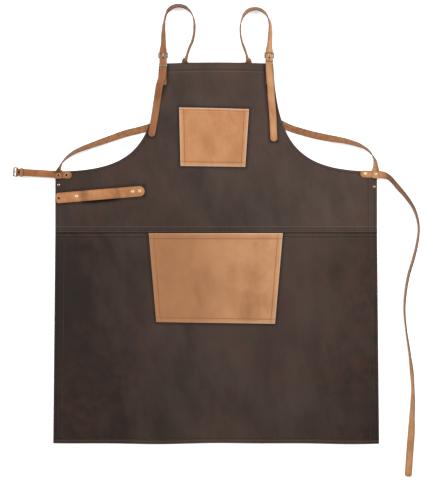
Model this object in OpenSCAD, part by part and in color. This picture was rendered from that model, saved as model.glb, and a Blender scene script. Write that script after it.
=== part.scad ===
// Leather butcher apron, laid face up on a flat surface.
// +Z is up, +Y runs from the skirt to the bib, and the origin is on the
// surface below the middle of the waist seam.

/* [Panels] */
// Width of the bib and skirt at the waist
waist_w = 676; // [660:1:690]
// Width of the skirt at its hem
hem_w = 685; // [670:1:700]
// Length of the skirt below the waist seam
skirt_l = 444; // [380:1:480]
// Height of the bib's top corners above the waist seam
bib_l = 354; // [350:1:358]
// Width of the bib between its top corners
bib_top_w = 240; // [236:1:250]
// Height of the waist corners above the waist seam
corner_y = 128; // [126:1:129]
// Thickness of the panel leather
panel_t = 2.2; // [2.2:0.1:2.4]
// Width that the bib laps over the skirt
lap_w = 12; // [10:1:16]

/* [Pockets] */
// Thickness of the pocket leather
pocket_t = 1.8; // [1.4:0.1:2]
// Flat sewn margin at the sides and bottom of a pocket
pocket_margin = 12; // [11:1:16]
// Free height inside the chest pocket's mouth
chest_gap = 4.8; // [4.6:0.1:8]
// Free height inside the waist pocket's mouth
waist_gap = 6.8; // [6.6:0.1:9]

/* [Straps] */
// Width of the shoulder straps, tabs, waist strap and waist tie
strap_w = 15; // [14:0.5:15]
// Thickness of the strap leather
strap_t = 2; // [1.8:0.1:2]
// Width of the towel strap
towel_w = 22; // [20:1:26]
// Length of the towel strap
towel_l = 187; // [184:1:190]
// Height that the middle of the towel strap stands proud
towel_rise = 9; // [7:0.5:12]

/* [Buckles and rivets] */
// Radius of the buckle wire
wire_r = 1.2; // [1.1:0.05:1.2]
// Distance between a buckle's heel bar and its end bar
buckle_l = 12.7; // [12:0.1:13]
// Distance between a buckle's two side bars
buckle_w = 18; // [18:0.1:19]
// Radius of a tongue's shaft
tongue_r = 0.9; // [0.7:0.05:0.9]
// Radius of a large rivet's cap
rivet_cap_r = 4.2; // [3.6:0.1:4.4]
// Radius of a small rivet's cap
small_cap_r = 3.3; // [3:0.1:3.4]

/* [Hidden] */
$fn = 48;

BROWN = [0.30, 0.25, 0.22];
TAN = [0.75, 0.54, 0.38];
TAN_DARK = [0.66, 0.46, 0.31];
THREAD_BROWN = [0.20, 0.16, 0.14];
THREAD_TAN = [0.70, 0.42, 0.22];
BRASS = [0.80, 0.70, 0.50];

// Heights of the stacked layers. The bib lies on the skirt's top edge.
bib_z = panel_t;
bib_top_z = bib_z + panel_t;
on_bib_z = bib_top_z + strap_t;
hole_play = 0.05;
post_r = 1.5;
foot_t = 0.8;
foot_r = 3.2;
cap_h = 1.3;

// Thread: a bead of stitches along each run
bead_w = 0.9;
bead_h = 0.4;
hem_inset = 19;
foot_hem_inset = 9.5;
arm_inset = 6;
top_inset = 16;
pocket_stitch_inset = 9;

// Bib outline: one curve from each top corner to each waist corner
arm_steps = 18;
arm_handle_top = [128, 180];
arm_handle_side = [174, corner_y];
top_crown = 3;

// Buckles: the tab or strap is folded round the heel bar
fold_play = 0.05;
fold_in = wire_r + fold_play;
fold_out = wire_r + strap_t;
fold_steps = 16;
heel_z = 4.75;
leg_z = heel_z + wire_r;
back_z = heel_z - fold_out;
buckle_corner_r = 1.4;
tongue_slot_w = 3.6;
tongue_slot_back = 5.5;
tongue_ring_r = 2.3;
tongue_ring_w = 3;
tongue_l = 14.8;
tongue_lift = asin((wire_r + tongue_r + fold_play) / buckle_l);

// Shoulder assemblies, one at each top corner
shoulder_x = 111.5;
shoulder_y = 366;
shoulder_tilt = 33.2;
tail_z = leg_z + strap_t + 0.2;
tail_mid_z = tail_z + strap_t / 2;
tab_front_l = 57;
tab_back_l = 50;
tab_low_z = bib_z - 0.1 - strap_t;
shoulder_rivet_y = [334, 323];
punch_r = 1.3;
punch_count = 7;
punch_first = -0.4;
keeper_left_y = 349.5;
keeper_right_y = 359.4;
keeper_w = 4;
keeper_t = 0.95;
keeper_play = 0.3;

// Waist strap on the left
waist_heel = [-417.4, 126.2];
waist_turn = 176.6;
waist_strap_l = 114.6;
waist_tilt = 57;
waist_fold_l = 28;
waist_keeper_u = -8.8;
waist_keeper_w = 6;
waist_keeper_t = 1.3;
tail_room = 2.6;

// Rivets: x, y and the height of the cap's flat side
corner_left = [[-331, 119.5, on_bib_z + strap_t], [-314.5, 120.4, on_bib_z]];
corner_right = [[334.5, 121.4, on_bib_z + strap_t], [312.5, 122.2, on_bib_z]];
edge_rivets = [[-330.8, 99, bib_top_z], [332.2, 95, bib_top_z]];
shoulder_left = [for (y = shoulder_rivet_y) [-shoulder_x, y, on_bib_z]];
shoulder_right = [for (y = shoulder_rivet_y) [shoulder_x, y, on_bib_z]];

// Towel strap: it starts at the left side edge and climbs to the right
towel_start = [-336.6, 71.2];
towel_turn = 4.8;
towel_rivet_s = [6, 43.5, 161.5, 176];
towel_flat_s = [49, 139];
towel_steps = 24;
function towel_point(s, z) = [
    towel_start[0] + s * cos(towel_turn),
    towel_start[1] + s * sin(towel_turn),
    z
];
towel_rivets = [for (s = towel_rivet_s) towel_point(s, on_bib_z)];

// Pockets: corners as top left, top right, bottom right, bottom left
chest_corners = [[-78, 262], [69, 258.5], [61, 137], [-75, 139]];
waist_corners = [[-142, -2], [140, -2], [123.5, -192.5], [-126, -189]];

// Routes of the free straps: x, y, z of the centre line, roll about it in
// degrees (0 and 180 lie flat, 90 stands on its edge), and share of width
left_route = [
    [-331, 112, 7.4, 0, 1], [-331, 124.3, 7.4, 0, 1], [-330.6, 126.4, 9.1, 12, 1], [-330.2, 128.3, 11, 28, 1], [-329.6, 130.5, 12.8, 52, 1], [-328.3, 133.6, 12, 74, 1], [-325.2, 141.8, 9.8, 84, 1],
    [-320.6, 149.4, 8.2, 102, 1], [-309.3, 160.4, 7.8, 113, 1],
    [-293, 170.5, 7.6, 124, 1], [-266, 181, 6.8, 138, 1], [-226, 195.2, 4.8, 152, 1],
    [-190, 207.4, 2.4, 170, 1], [-152, 217, 1.05, 180, 1], [-118, 229, 1.05, 180, 1],
    [-92, 254, 1.05, 180, 1], [-76, 295, 1.05, 180, 1], [-68, 335, 1.05, 180, 1],
    [-65, 357, 1.05, 180, 1], [-64.5, 358.8, 3, 166, 1], [-64, 361, 6.2, 134, 1], [-63.4, 363.2, 7.7, 112, 1], [-61, 372.5, 7.7, 104, 1], [-56, 387, 7.7, 106, 1],
    [-50, 401, 7.7, 106, 1], [-46.5, 416, 7.7, 104, 1], [-45.5, 431, 7.7, 104, 1],
    [-46.5, 444, 7.7, 97, 1], [-50, 456, 7.7, 86, 1], [-56.5, 465.5, 7.7, 75, 1],
    [-66, 472.8, 7.7, 61, 1], [-78, 475.6, 7.5, 58, 1], [-89.5, 473.7, 7.5, 54, 1],
    [-98.5, 467.7, 7.5, 58, 1], [-104.6, 458.5, 7.7, 76, 1], [-108.2, 445, 7.7, 78, 1],
    [-110.2, 431, 7.7, 68, 1], [-110.8, 410, 8.2, 53, 1], [-110.8, 398, 8.6, 49, 1],
    [-111.2, 389.5, 8.9, 40, 1], [-111.4, 384.5, 9, 26, 1],
    [-111.5, 380, tail_mid_z, 0, 1], [-111.5, 342, tail_mid_z, 0, 1],
    [-114, 325, 8.8, 0, 1], [-119, 308, 8.2, 0, 1], [-122.5, 286, 5.9, 0, 1],
    [-126, 262, 5.9, 0, 1], [-130.5, 234, 5.9, 0, 1], [-135, 209, 5.9, 0, 1],
    [-136, 203.5, 5.9, 0, 0.8], [-136.4, 201, 5.9, 0, 0.4],
];
right_route = [
    [334.5, 113, 7.4, 0, 1], [334.5, 126.3, 7.4, 0, 1], [334.5, 130.5, 9.4, -15, 1],
    [334.6, 134, 10.3, -38, 1], [334.4, 140, 10, -56, 1], [333.8, 147, 9, -66, 1],
    [330.6, 156.6, 8, -86, 1], [324.4, 166.4, 7.8, -102, 1],
    [312.6, 176.8, 7.8, -110, 1], [294, 185.2, 7.4, -128, 1],
    [268, 192.2, 6.2, -141, 1], [240, 197.2, 4.1, -157, 1], [212, 202.6, 2.1, -172, 1],
    [184, 209.8, 1.05, -180, 1], [152, 220.2, 1.05, -180, 1], [120, 238, 1.05, -180, 1],
    [96, 264, 1.05, -180, 1], [80, 300, 1.05, -180, 1], [71, 335, 1.05, -180, 1],
    [67.2, 357, 1.05, -180, 1], [66.8, 358.8, 3, -166, 1], [66.4, 361, 6.2, -134, 1], [65.9, 363.2, 7.7, -112, 1], [63.8, 372.5, 7.7, -102, 1],
    [59, 386.5, 7.7, -105, 1], [54, 401, 7.7, -100, 1], [51, 418, 7.7, -96, 1],
    [51, 432, 7.7, -96, 1], [54, 446.5, 7.7, -81, 1], [60, 458.5, 7.7, -65, 1],
    [69.5, 466.6, 7.7, -58, 1], [81, 469.4, 7.5, -62, 1], [91.5, 467.8, 7.6, -63, 1],
    [101.2, 461.8, 7.7, -68, 1], [108.8, 451, 7.7, -82, 1], [113.2, 438, 7.7, -70, 1],
    [113.8, 415, 8, -56, 1], [112.9, 399, 8.6, -50, 1], [112.1, 389.5, 8.9, -42, 1],
    [111.7, 384.5, 9, -26, 1], [111.5, 380, tail_mid_z, 0, 1],
    [111.5, 342, tail_mid_z, 0, 1], [113, 325, 8.8, 0, 1], [114.5, 308, 8.2, 0, 1],
    [115.5, 286, 5.9, 0, 1], [117.5, 262, 5.9, 0, 1], [119.5, 234, 5.9, 0, 1],
    [121, 199, 5.9, 0, 1], [121.3, 193.5, 5.9, 0, 0.8], [121.4, 191, 5.9, 0, 0.4],
];
tie_route = [
    [303, 122.7, 5.4, 0, 0.4], [305.5, 122.6, 5.4, 0, 0.8], [311, 122.3, 5.4, 0, 1],
    [339, 121, 5.4, 0, 1], [351, 120, 5.8, 16, 1], [361.5, 115.6, 7, 46, 1],
    [371.2, 106.6, 7.4, 56, 1], [381.6, 94.4, 7.4, 55, 1], [398, 75.4, 7.5, 64, 1],
    [413.6, 52.4, 7.7, 72, 1], [422, 30, 7.7, 79, 1], [425.2, 8, 7.7, 83, 1],
    [422.4, -20, 7.7, 79, 1], [414.2, -55.3, 7.7, 76, 1], [403.8, -90.2, 7.7, 76, 1],
    [397.4, -128, 7.7, 79, 1], [395.2, -165, 7.7, 83, 1], [399.2, -208, 7.7, 86, 1],
    [405.3, -250, 7.7, 81, 1], [410.6, -294, 7.6, 68, 1], [413, -328, 7.6, 72, 1],
    [412.6, -361, 7, 57, 1], [411.1, -390, 6.2, 46, 1], [410, -420, 4.2, 24, 1],
    [407.9, -450, 1.9, 5, 1], [404.5, -500, 1.05, 0, 1], [404.05, -507.5, 1.05, 0, 1],
    [403.9, -510.5, 1.05, 0, 0.82], [403.8, -512.5, 1.05, 0, 0.45],
];

// ---------------------------------------------------------------- curves

function mix(a, b, t) = a * (1 - t) + b * t;

function ease(t) = let (c = min(max(t, 0), 1)) c * c * (3 - 2 * c);

function bezier(a, b, c, d, t) =
    a * pow(1 - t, 3) + 3 * b * t * pow(1 - t, 2) + 3 * c * t * t * (1 - t) + d * pow(t, 3);

function armhole(t) = bezier(
    [bib_top_w / 2, bib_l], arm_handle_top, arm_handle_side, [waist_w / 2, corner_y], t
);

// A point that lies a given distance inside the armhole's edge
function armhole_inside(t, inset) =
    let (step = armhole(t + 0.01) - armhole(t - 0.01), side = [step[1], -step[0]])
    armhole(t) + side / norm(side) * inset;

function bib_half() = [for (i = [0:arm_steps]) armhole(i / arm_steps)];

function mirrored(points) = [for (i = [len(points) - 1:-1:0]) [-points[i][0], points[i][1]]];

function top_edge() = [
    for (i = [-2:2]) [i * bib_top_w / 6, bib_l + top_crown * (1 - pow(i / 3, 2))]
];

// Cross-section of a flat strap: a rectangle with broken corners
edge_break = 0.4;
function strap_section(share) =
    let (a = strap_w / 2 * share, b = strap_t / 2, c = edge_break)
    [[a, b - c], [a - c, b], [c - a, b], [-a, b - c], [-a, c - b], [c - a, -b], [a - c, -b], [a, c - b]];

function route_xyz(route, i) = [route[i][0], route[i][1], route[i][2]];

function route_tangent(route, i) =
    let (
        after = route_xyz(route, min(i + 1, len(route) - 1)),
        before = route_xyz(route, max(i - 1, 0)),
        step = after - before
    )
    step / norm(step);

// One ring of a swept strap, rolled about the route
function strap_ring(route, i) =
    let (
        along = route_tangent(route, i),
        left = [-along[1], along[0], 0] / norm([along[0], along[1]]),
        up = cross(along, left),
        roll = route[i][3],
        wide = cos(roll) * left + sin(roll) * up,
        face = cos(roll) * up - sin(roll) * left
    )
    [for (p = strap_section(route[i][4])) route_xyz(route, i) + p[0] * wide + p[1] * face];

// ---------------------------------------------------------------- helpers

module swept_strap(route) {
    sides = len(strap_section(1));
    rings = len(route);
    walls = [
        for (i = [0:rings - 2], j = [0:sides - 1])
        let (k = (j + 1) % sides, a = i * sides, b = a + sides)
        each [[a + j, a + k, b + k], [a + j, b + k, b + j]]
    ];
    first = [for (j = [sides - 1:-1:0]) j];
    last = [for (j = [0:sides - 1]) (rings - 1) * sides + j];
    polyhedron([for (i = [0:rings - 1]) each strap_ring(route, i)], concat(walls, [first, last]));
}

// Thread along a run of points, as a bead on the leather
module bead(points, z) {
    translate([0, 0, z]) linear_extrude(bead_h) for (i = [0:len(points) - 2]) {
        step = points[i + 1] - points[i];
        translate(points[i]) rotate(atan2(step[1], step[0]))
            translate([-bead_w / 2, -bead_w / 2]) square([norm(step) + bead_w, bead_w]);
    }
}

module rivet_caps(rivets, r) {
    dome_r = (r * r + cap_h * cap_h) / (2 * cap_h);
    for (p = rivets) translate(p) rotate_extrude() intersection() {
        translate([0, cap_h - dome_r]) circle(dome_r, $fn = 128);
        square([r, cap_h]);
    }
}

module rivet_posts(rivets, foot_z) {
    for (p = rivets) {
        translate([p[0], p[1], foot_z]) cylinder(r = foot_r, h = foot_t);
        translate([p[0], p[1], foot_z]) cylinder(r = post_r, h = p[2] - foot_z);
    }
}

module rivet_holes(rivets) {
    for (p = rivets) translate([p[0], p[1], -1]) cylinder(r = post_r + hole_play, h = 20);
}

// Upright profile in x and z, given width along y
module upright(w) {
    rotate([90, 0, 0]) linear_extrude(w, center = true) children();
}

function reversed(points) = [for (i = [len(points) - 1:-1:0]) points[i]];

function raised(points) = [for (p = points) p + [0, strap_t]];

// Leather folded round a heel bar. Each leg is the line of its lower side,
// from the bar outwards. A slot in the fold leaves room for the tongue.
module folded_leather(front, back) {
    bend = [
        for (i = [1:fold_steps - 1])
        let (a = 90 - 180 * i / fold_steps)
        [fold_out * cos(a), heel_z + fold_out * sin(a)]
    ];
    difference() {
        upright(strap_w)
            polygon(concat(reversed(raised(front)), bend, back, reversed(raised(back)), front));
        translate([0, 0, heel_z]) rotate([90, 0, 0])
            cylinder(r = fold_in, h = strap_w + 1, center = true);
        translate([-tongue_slot_back, -tongue_slot_w / 2, 0])
            cube([tongue_slot_back + fold_out + 1, tongue_slot_w, 2 * heel_z + 2]);
    }
}

// Buckle frame in its own plane, heel bar on the y axis
module buckle_frame(tilt) {
    half = buckle_w / 2;
    r = buckle_corner_r;
    translate([0, 0, heel_z]) rotate([0, -tilt, 0]) {
        for (x = [0, buckle_l]) translate([x, 0, 0]) rotate([90, 0, 0])
            cylinder(r = wire_r, h = buckle_w - 2 * r, center = true);
        for (y = [-half, half]) translate([r, y, 0]) rotate([0, 90, 0])
            cylinder(r = wire_r, h = buckle_l - 2 * r);
        for (corner = [[r, r - half, 180], [r, half - r, 90],
                       [buckle_l - r, half - r, 0], [buckle_l - r, r - half, 270]])
            translate([corner[0], corner[1], 0]) rotate([0, 0, corner[2]])
            rotate_extrude(angle = 90) translate([r, 0]) circle(wire_r);
    }
}

// Buckle tongue, hinged on the heel bar and resting on the end bar
module buckle_tongue(tilt) {
    translate([0, 0, heel_z]) rotate([0, -tilt - tongue_lift, 0]) {
        difference() {
            rotate([90, 0, 0]) cylinder(r = tongue_ring_r, h = tongue_ring_w, center = true);
            rotate([90, 0, 0]) cylinder(r = fold_in, h = tongue_ring_w + 1, center = true);
        }
        translate([tongue_ring_r - 0.4, 0, 0]) rotate([0, 90, 0])
            cylinder(r = tongue_r, h = tongue_l - tongue_ring_r + 0.4);
        translate([tongue_l, 0, 0]) sphere(tongue_r);
    }
}

module rounded_square(size, r) {
    translate([r, 0]) square([size[0] - 2 * r, size[1]]);
    translate([0, r]) square([size[0], size[1] - 2 * r]);
    for (x = [r, size[0] - r], y = [r, size[1] - r]) translate([x, y]) circle(r);
}

// A loop round a strap: opening from low to high, band of thickness t
module keeper_loop(low, high, t, w) {
    open_w = strap_w + 2 * keeper_play;
    rotate([90, 0, 90]) linear_extrude(w, center = true) difference() {
        translate([-open_w / 2 - t, low - t]) rounded_square([open_w + 2 * t, high - low + 2 * t], t);
        translate([-open_w / 2, low]) square([open_w, high - low]);
    }
}

// Leather patch sewn down at its sides and bottom, standing open at its top
pocket_cols = 14;
pocket_rows = 8;
module crowned_pocket(corners, base_z, gap) {
    wide = norm(corners[1] - corners[0]);
    tall = norm(corners[3] - corners[0]);
    m_u = pocket_margin / wide;
    m_v = pocket_margin / tall;
    grid = [
        for (j = [0:pocket_rows], i = [0:pocket_cols])
        let (
            u = i == 0 ? 0 : i == pocket_cols ? 1 : mix(m_u, 1 - m_u, (i - 1) / (pocket_cols - 2)),
            v = j == 0 ? 0 : mix(m_v, 1, (j - 1) / (pocket_rows - 1)),
            flat = mix(mix(corners[3], corners[2], u), mix(corners[0], corners[1], u), v),
            side = ease((min(u, 1 - u) - m_u) / 0.18),
            rise = gap * side * ease((v - m_v) / 0.35)
        )
        [flat[0], flat[1], base_z + rise]
    ];
    n = len(grid);
    row = pocket_cols + 1;
    points = concat(grid, [for (p = grid) p + [0, 0, pocket_t]]);
    under = [
        for (j = [0:pocket_rows - 1], i = [0:pocket_cols - 1])
        let (a = j * row + i) each [[a, a + 1, a + row + 1], [a, a + row + 1, a + row]]
    ];
    over = [for (f = under) [f[2] + n, f[1] + n, f[0] + n]];
    rim = concat(
        [for (i = [0:pocket_cols - 1]) i],
        [for (j = [0:pocket_rows - 1]) j * row + pocket_cols],
        [for (i = [pocket_cols:-1:1]) pocket_rows * row + i],
        [for (j = [pocket_rows:-1:1]) j * row]
    );
    edge = [
        for (k = [0:len(rim) - 1])
        let (a = rim[k], b = rim[(k + 1) % len(rim)])
        each [[b, a, a + n], [b, a + n, b + n]]
    ];
    polyhedron(points, concat(under, over, edge));
}

function inset_corner(corners, i, inset) =
    let (
        c = corners[i],
        across = corners[i == 0 ? 1 : i == 1 ? 0 : i == 2 ? 3 : 2] - c,
        down = corners[i == 0 ? 3 : i == 1 ? 2 : i == 2 ? 1 : 0] - c
    )
    c + across / norm(across) * inset + down / norm(down) * inset;

module pocket_thread(corners, z) {
    inset = pocket_stitch_inset;
    run = [for (i = [0, 3, 2, 1]) inset_corner(corners, i, inset)];
    top_left = run[0] + (run[0] - run[1]) / norm(run[0] - run[1]) * (inset - bead_w);
    top_right = run[3] + (run[3] - run[2]) / norm(run[3] - run[2]) * (inset - bead_w);
    bead([top_left, run[1], run[2], top_right], z);
}

module at_shoulder(side) {
    translate([side * shoulder_x, shoulder_y, 0]) rotate([0, 0, 90]) children();
}

module at_waist_heel() {
    translate([waist_heel[0], waist_heel[1], 0]) rotate([0, 0, waist_turn]) children();
}

// ---------------------------------------------------------------- panels

module bib_panel() {
    half = bib_half();
    outline = concat(
        top_edge(), half, [[waist_w / 2, 0], [-waist_w / 2, 0]], mirrored(half)
    );
    color(BROWN) difference() {
        translate([0, 0, bib_z]) linear_extrude(panel_t) polygon(outline);
        rivet_holes(concat(corner_left, corner_right, edge_rivets, towel_rivets));
        rivet_holes(concat(shoulder_left, shoulder_right));
    }
}

module skirt_panel() {
    color(BROWN) linear_extrude(panel_t) polygon([
        [-waist_w / 2, lap_w], [waist_w / 2, lap_w], [hem_w / 2, -skirt_l], [-hem_w / 2, -skirt_l]
    ]);
}

module waist_seam_thread() {
    color(THREAD_BROWN) for (y = [2.5, 7])
        bead([[4 - waist_w / 2, y], [waist_w / 2 - 4, y]], bib_top_z);
}

module bib_edge_thread() {
    side_x = waist_w / 2 - hem_inset;
    top_y = bib_l - top_inset + top_crown;
    color(THREAD_BROWN) {
        bead([[-98, top_y - 1], [0, top_y], [98, top_y - 1]], bib_top_z);
        for (side = [-1, 1]) {
            run = [for (i = [3:arm_steps - 3]) armhole_inside(i / arm_steps, arm_inset)];
            bead([for (p = run) [side * p[0], p[1]]], bib_top_z);
            bead([[side * side_x, 60], [side * side_x, 12]], bib_top_z);
        }
    }
}

module skirt_hem_thread() {
    top_x = waist_w / 2 - hem_inset;
    low_x = hem_w / 2 - hem_inset;
    foot_y = foot_hem_inset - skirt_l;
    color(THREAD_BROWN)
        bead([[-top_x, -4], [-low_x, foot_y], [low_x, foot_y], [top_x, -4]], panel_t);
}

// ---------------------------------------------------------------- pockets

module chest_pocket() {
    color(TAN) crowned_pocket(chest_corners, bib_top_z, chest_gap);
}

module chest_pocket_thread() {
    color(THREAD_TAN) pocket_thread(chest_corners, bib_top_z + pocket_t);
}

module waist_pocket() {
    color(TAN) crowned_pocket(waist_corners, panel_t, waist_gap);
}

module waist_pocket_thread() {
    color(THREAD_TAN) pocket_thread(waist_corners, panel_t + pocket_t);
}

// ---------------------------------------------------------------- shoulders

// Tab folded round the heel bar, one leg in front of the bib and one behind
module shoulder_tab(side, rivets) {
    color(TAN_DARK) difference() {
        at_shoulder(side) folded_leather(
            [[0, leg_z], [-20, leg_z], [-28, bib_top_z], [-tab_front_l, bib_top_z]],
            [[0, back_z], [-5, back_z], [-8.5, tab_low_z], [-tab_back_l, tab_low_z]]
        );
        rivet_holes(rivets);
        for (p = rivets) translate([p[0], p[1], -1])
            cylinder(r = foot_r + hole_play, h = 1 + tab_low_z + foot_t + hole_play);
    }
}

module shoulder_tab_left() { shoulder_tab(-1, shoulder_left); }

module shoulder_tab_right() { shoulder_tab(1, shoulder_right); }

module shoulder_buckle_left() { color(BRASS) at_shoulder(-1) buckle_frame(shoulder_tilt); }

module shoulder_buckle_right() { color(BRASS) at_shoulder(1) buckle_frame(shoulder_tilt); }

module shoulder_tongue_left() { color(BRASS) at_shoulder(-1) buckle_tongue(shoulder_tilt); }

module shoulder_tongue_right() { color(BRASS) at_shoulder(1) buckle_tongue(shoulder_tilt); }

module shoulder_keeper(side, y) {
    low = leg_z - keeper_play;
    high = tail_z + strap_t + keeper_play;
    color(BRASS) translate([side * shoulder_x, y, 0]) rotate([0, 0, 90])
        keeper_loop(low, high, keeper_t, keeper_w);
}

module shoulder_keeper_left() { shoulder_keeper(-1, keeper_left_y); }

module shoulder_keeper_right() { shoulder_keeper(1, keeper_right_y); }

module shoulder_rivet_caps_left() { color(BRASS) rivet_caps(shoulder_left, small_cap_r); }

module shoulder_rivet_caps_right() { color(BRASS) rivet_caps(shoulder_right, small_cap_r); }

module shoulder_rivet_posts_left() { color(BRASS) rivet_posts(shoulder_left, tab_low_z); }

module shoulder_rivet_posts_right() { color(BRASS) rivet_posts(shoulder_right, tab_low_z); }

// The strap from the waist corner over the shoulder, through the buckle and on
// to its tail. A row of punched holes makes the slot that the tongue goes through.
module shoulder_strap(side, route, rivet) {
    color(TAN) difference() {
        swept_strap(route);
        rivet_holes([rivet]);
        for (i = [0:punch_count - 1]) at_shoulder(side)
            translate([punch_first + i * punch_r, 0, tail_z - 1])
            cylinder(r = punch_r, h = strap_t + 2);
    }
}

module shoulder_strap_left() { shoulder_strap(-1, left_route, corner_left[0]); }

module shoulder_strap_right() { shoulder_strap(1, right_route, corner_right[0]); }

// ---------------------------------------------------------------- waist

// Waist strap: riveted to the bib's corner, its far end folded round the bar
module waist_strap_left() {
    under_z = leg_z - strap_t;
    color(TAN_DARK) difference() {
        at_waist_heel() folded_leather(
            [[0, leg_z], [-12, leg_z], [-82.3, bib_top_z], [-waist_strap_l, bib_top_z]],
            [[0, back_z], [-4, back_z], [8 - waist_fold_l, under_z - 0.3],
             [-waist_fold_l, under_z - 0.5]]
        );
        rivet_holes(corner_left);
    }
}

module waist_strap_fold_thread() {
    color(THREAD_TAN) at_waist_heel() translate([-24, 0, 0])
        bead([[0, -5], [0, 5]], leg_z + strap_t);
}

module waist_buckle() { color(BRASS) at_waist_heel() buckle_frame(waist_tilt); }

module waist_tongue() { color(BRASS) at_waist_heel() buckle_tongue(waist_tilt); }

module waist_keeper() {
    low = 0.15 + waist_keeper_t;
    high = leg_z + strap_t + tail_room;
    color(TAN) at_waist_heel() translate([waist_keeper_u, 0, 0])
        keeper_loop(low, high, waist_keeper_t, waist_keeper_w);
}

module waist_tie_right() {
    color(TAN) difference() {
        swept_strap(tie_route);
        rivet_holes(corner_right);
    }
}

module corner_rivet_caps_left() { color(BRASS) rivet_caps(corner_left, rivet_cap_r); }

module corner_rivet_caps_right() { color(BRASS) rivet_caps(corner_right, rivet_cap_r); }

module corner_rivet_posts_left() { color(BRASS) rivet_posts(corner_left, bib_z - foot_t); }

module corner_rivet_posts_right() { color(BRASS) rivet_posts(corner_right, bib_z - foot_t); }

module edge_rivet_caps() { color(BRASS) rivet_caps(edge_rivets, small_cap_r); }

module edge_rivet_posts() { color(BRASS) rivet_posts(edge_rivets, bib_z - foot_t); }

// ---------------------------------------------------------------- towel strap

function towel_rise_at(s) =
    towel_rise * ease((s - towel_flat_s[0]) / 22) * ease((towel_flat_s[1] - s) / 22);

module towel_strap() {
    low = [for (i = [0:towel_steps])
        let (s = mix(towel_flat_s[0], towel_flat_s[1], i / towel_steps))
        [s, bib_top_z + towel_rise_at(s)]];
    high = [for (i = [towel_steps:-1:0]) low[i] + [0, strap_t]];
    profile = concat([[0, bib_top_z]], low, [[towel_l, bib_top_z], [towel_l, on_bib_z]],
        high, [[0, on_bib_z]]);
    round_r = towel_w / 2;
    color(TAN) difference() {
        translate([towel_start[0], towel_start[1], 0]) rotate([0, 0, towel_turn]) intersection() {
            upright(towel_w) polygon(profile);
            translate([0, 0, -1]) linear_extrude(30) {
                translate([0, -round_r]) square([towel_l - round_r, towel_w]);
                translate([towel_l - round_r, 0]) circle(round_r);
            }
        }
        rivet_holes(towel_rivets);
    }
}

module towel_rivet_caps() { color(BRASS) rivet_caps(towel_rivets, rivet_cap_r); }

module towel_rivet_posts() { color(BRASS) rivet_posts(towel_rivets, bib_z - foot_t); }

// ---------------------------------------------------------------- drawing

bib_panel();
skirt_panel();
waist_seam_thread();
bib_edge_thread();
skirt_hem_thread();
chest_pocket();
chest_pocket_thread();
waist_pocket();
waist_pocket_thread();
shoulder_tab_left();
shoulder_tab_right();
shoulder_buckle_left();
shoulder_buckle_right();
shoulder_tongue_left();
shoulder_tongue_right();
shoulder_keeper_left();
shoulder_keeper_right();
shoulder_rivet_caps_left();
shoulder_rivet_caps_right();
shoulder_rivet_posts_left();
shoulder_rivet_posts_right();
shoulder_strap_left();
shoulder_strap_right();
waist_strap_left();
waist_strap_fold_thread();
waist_buckle();
waist_tongue();
waist_keeper();
waist_tie_right();
corner_rivet_caps_left();
corner_rivet_caps_right();
corner_rivet_posts_left();
corner_rivet_posts_right();
edge_rivet_caps();
edge_rivet_posts();
towel_strap();
towel_rivet_caps();
towel_rivet_posts();
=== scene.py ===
"""Leather work apron: two brown panels, tan pockets and straps, brass fittings.

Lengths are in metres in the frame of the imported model: the apron lies face up on
its back, seen from above with +X to the right and +Y towards the neck.
"""

import bisect
import logging
import math
from collections.abc import Callable, Iterable, Sequence
from dataclasses import dataclass, field
from enum import Enum, IntEnum

import bmesh
import bpy
from mathutils import Matrix, Vector, noise


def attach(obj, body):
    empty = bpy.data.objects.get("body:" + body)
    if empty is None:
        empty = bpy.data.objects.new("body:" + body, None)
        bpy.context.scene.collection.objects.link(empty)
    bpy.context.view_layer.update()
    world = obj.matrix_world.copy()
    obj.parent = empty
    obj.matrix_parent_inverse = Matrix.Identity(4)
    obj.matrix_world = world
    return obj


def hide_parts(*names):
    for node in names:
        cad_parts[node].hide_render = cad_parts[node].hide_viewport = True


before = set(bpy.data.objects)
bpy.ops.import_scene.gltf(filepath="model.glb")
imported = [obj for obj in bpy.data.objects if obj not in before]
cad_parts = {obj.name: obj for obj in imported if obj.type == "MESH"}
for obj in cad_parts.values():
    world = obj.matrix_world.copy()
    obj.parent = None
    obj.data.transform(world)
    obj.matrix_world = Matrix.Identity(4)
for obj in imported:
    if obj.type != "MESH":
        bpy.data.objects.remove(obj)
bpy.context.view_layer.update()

log = logging.getLogger("apron")

MM = 0.001
APRON = "apron"
STUDIO_LIGHT = 1.28
SMOOTH_LIMIT = math.radians(38)

Grid = list[list[Vector]]
Socket = bpy.types.NodeSocket
Material = bpy.types.Material
Object = bpy.types.Object


class Side(Enum):
    """The two sides of the apron, as seen from above."""

    LEFT = -1
    RIGHT = 1

    @property
    def word(self) -> str:
        """The side's name in a piece or node."""
        return self.name.lower()


class Skin(IntEnum):
    """The surfaces of a cut piece of leather, in the order of its finishes."""

    GRAIN = 0
    FLESH = 1
    EDGE = 2


class Tip(Enum):
    """How a leather strip ends."""

    SQUARE = "square"
    ROUND = "round"


class Slot(Enum):
    """Material slots of the record."""

    BROWN = "brown_leather"
    TAN = "tan_leather"
    STRAP = "strap_leather"
    BROWN_THREAD = "brown_thread"
    TAN_THREAD = "tan_thread"
    BUCKLE = "buckle_metal"
    RIVET = "rivet_metal"


# ------------------------------------------------------------------ colours


@dataclass(frozen=True)
class Shade:
    """A colour as it should look under the studio light, in 0 to 255."""

    red: int
    green: int
    blue: int

    def linear(self) -> tuple[float, float, float, float]:
        """The reflectance that gives this look under the studio light."""
        parts = []
        for channel in (self.red, self.green, self.blue):
            c = channel / 255
            lit = c / 12.92 if c <= 0.04045 else ((c + 0.055) / 1.055) ** 2.4
            parts.append(min(lit / STUDIO_LIGHT, 0.95))
        return (*parts, 1.0)


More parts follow.
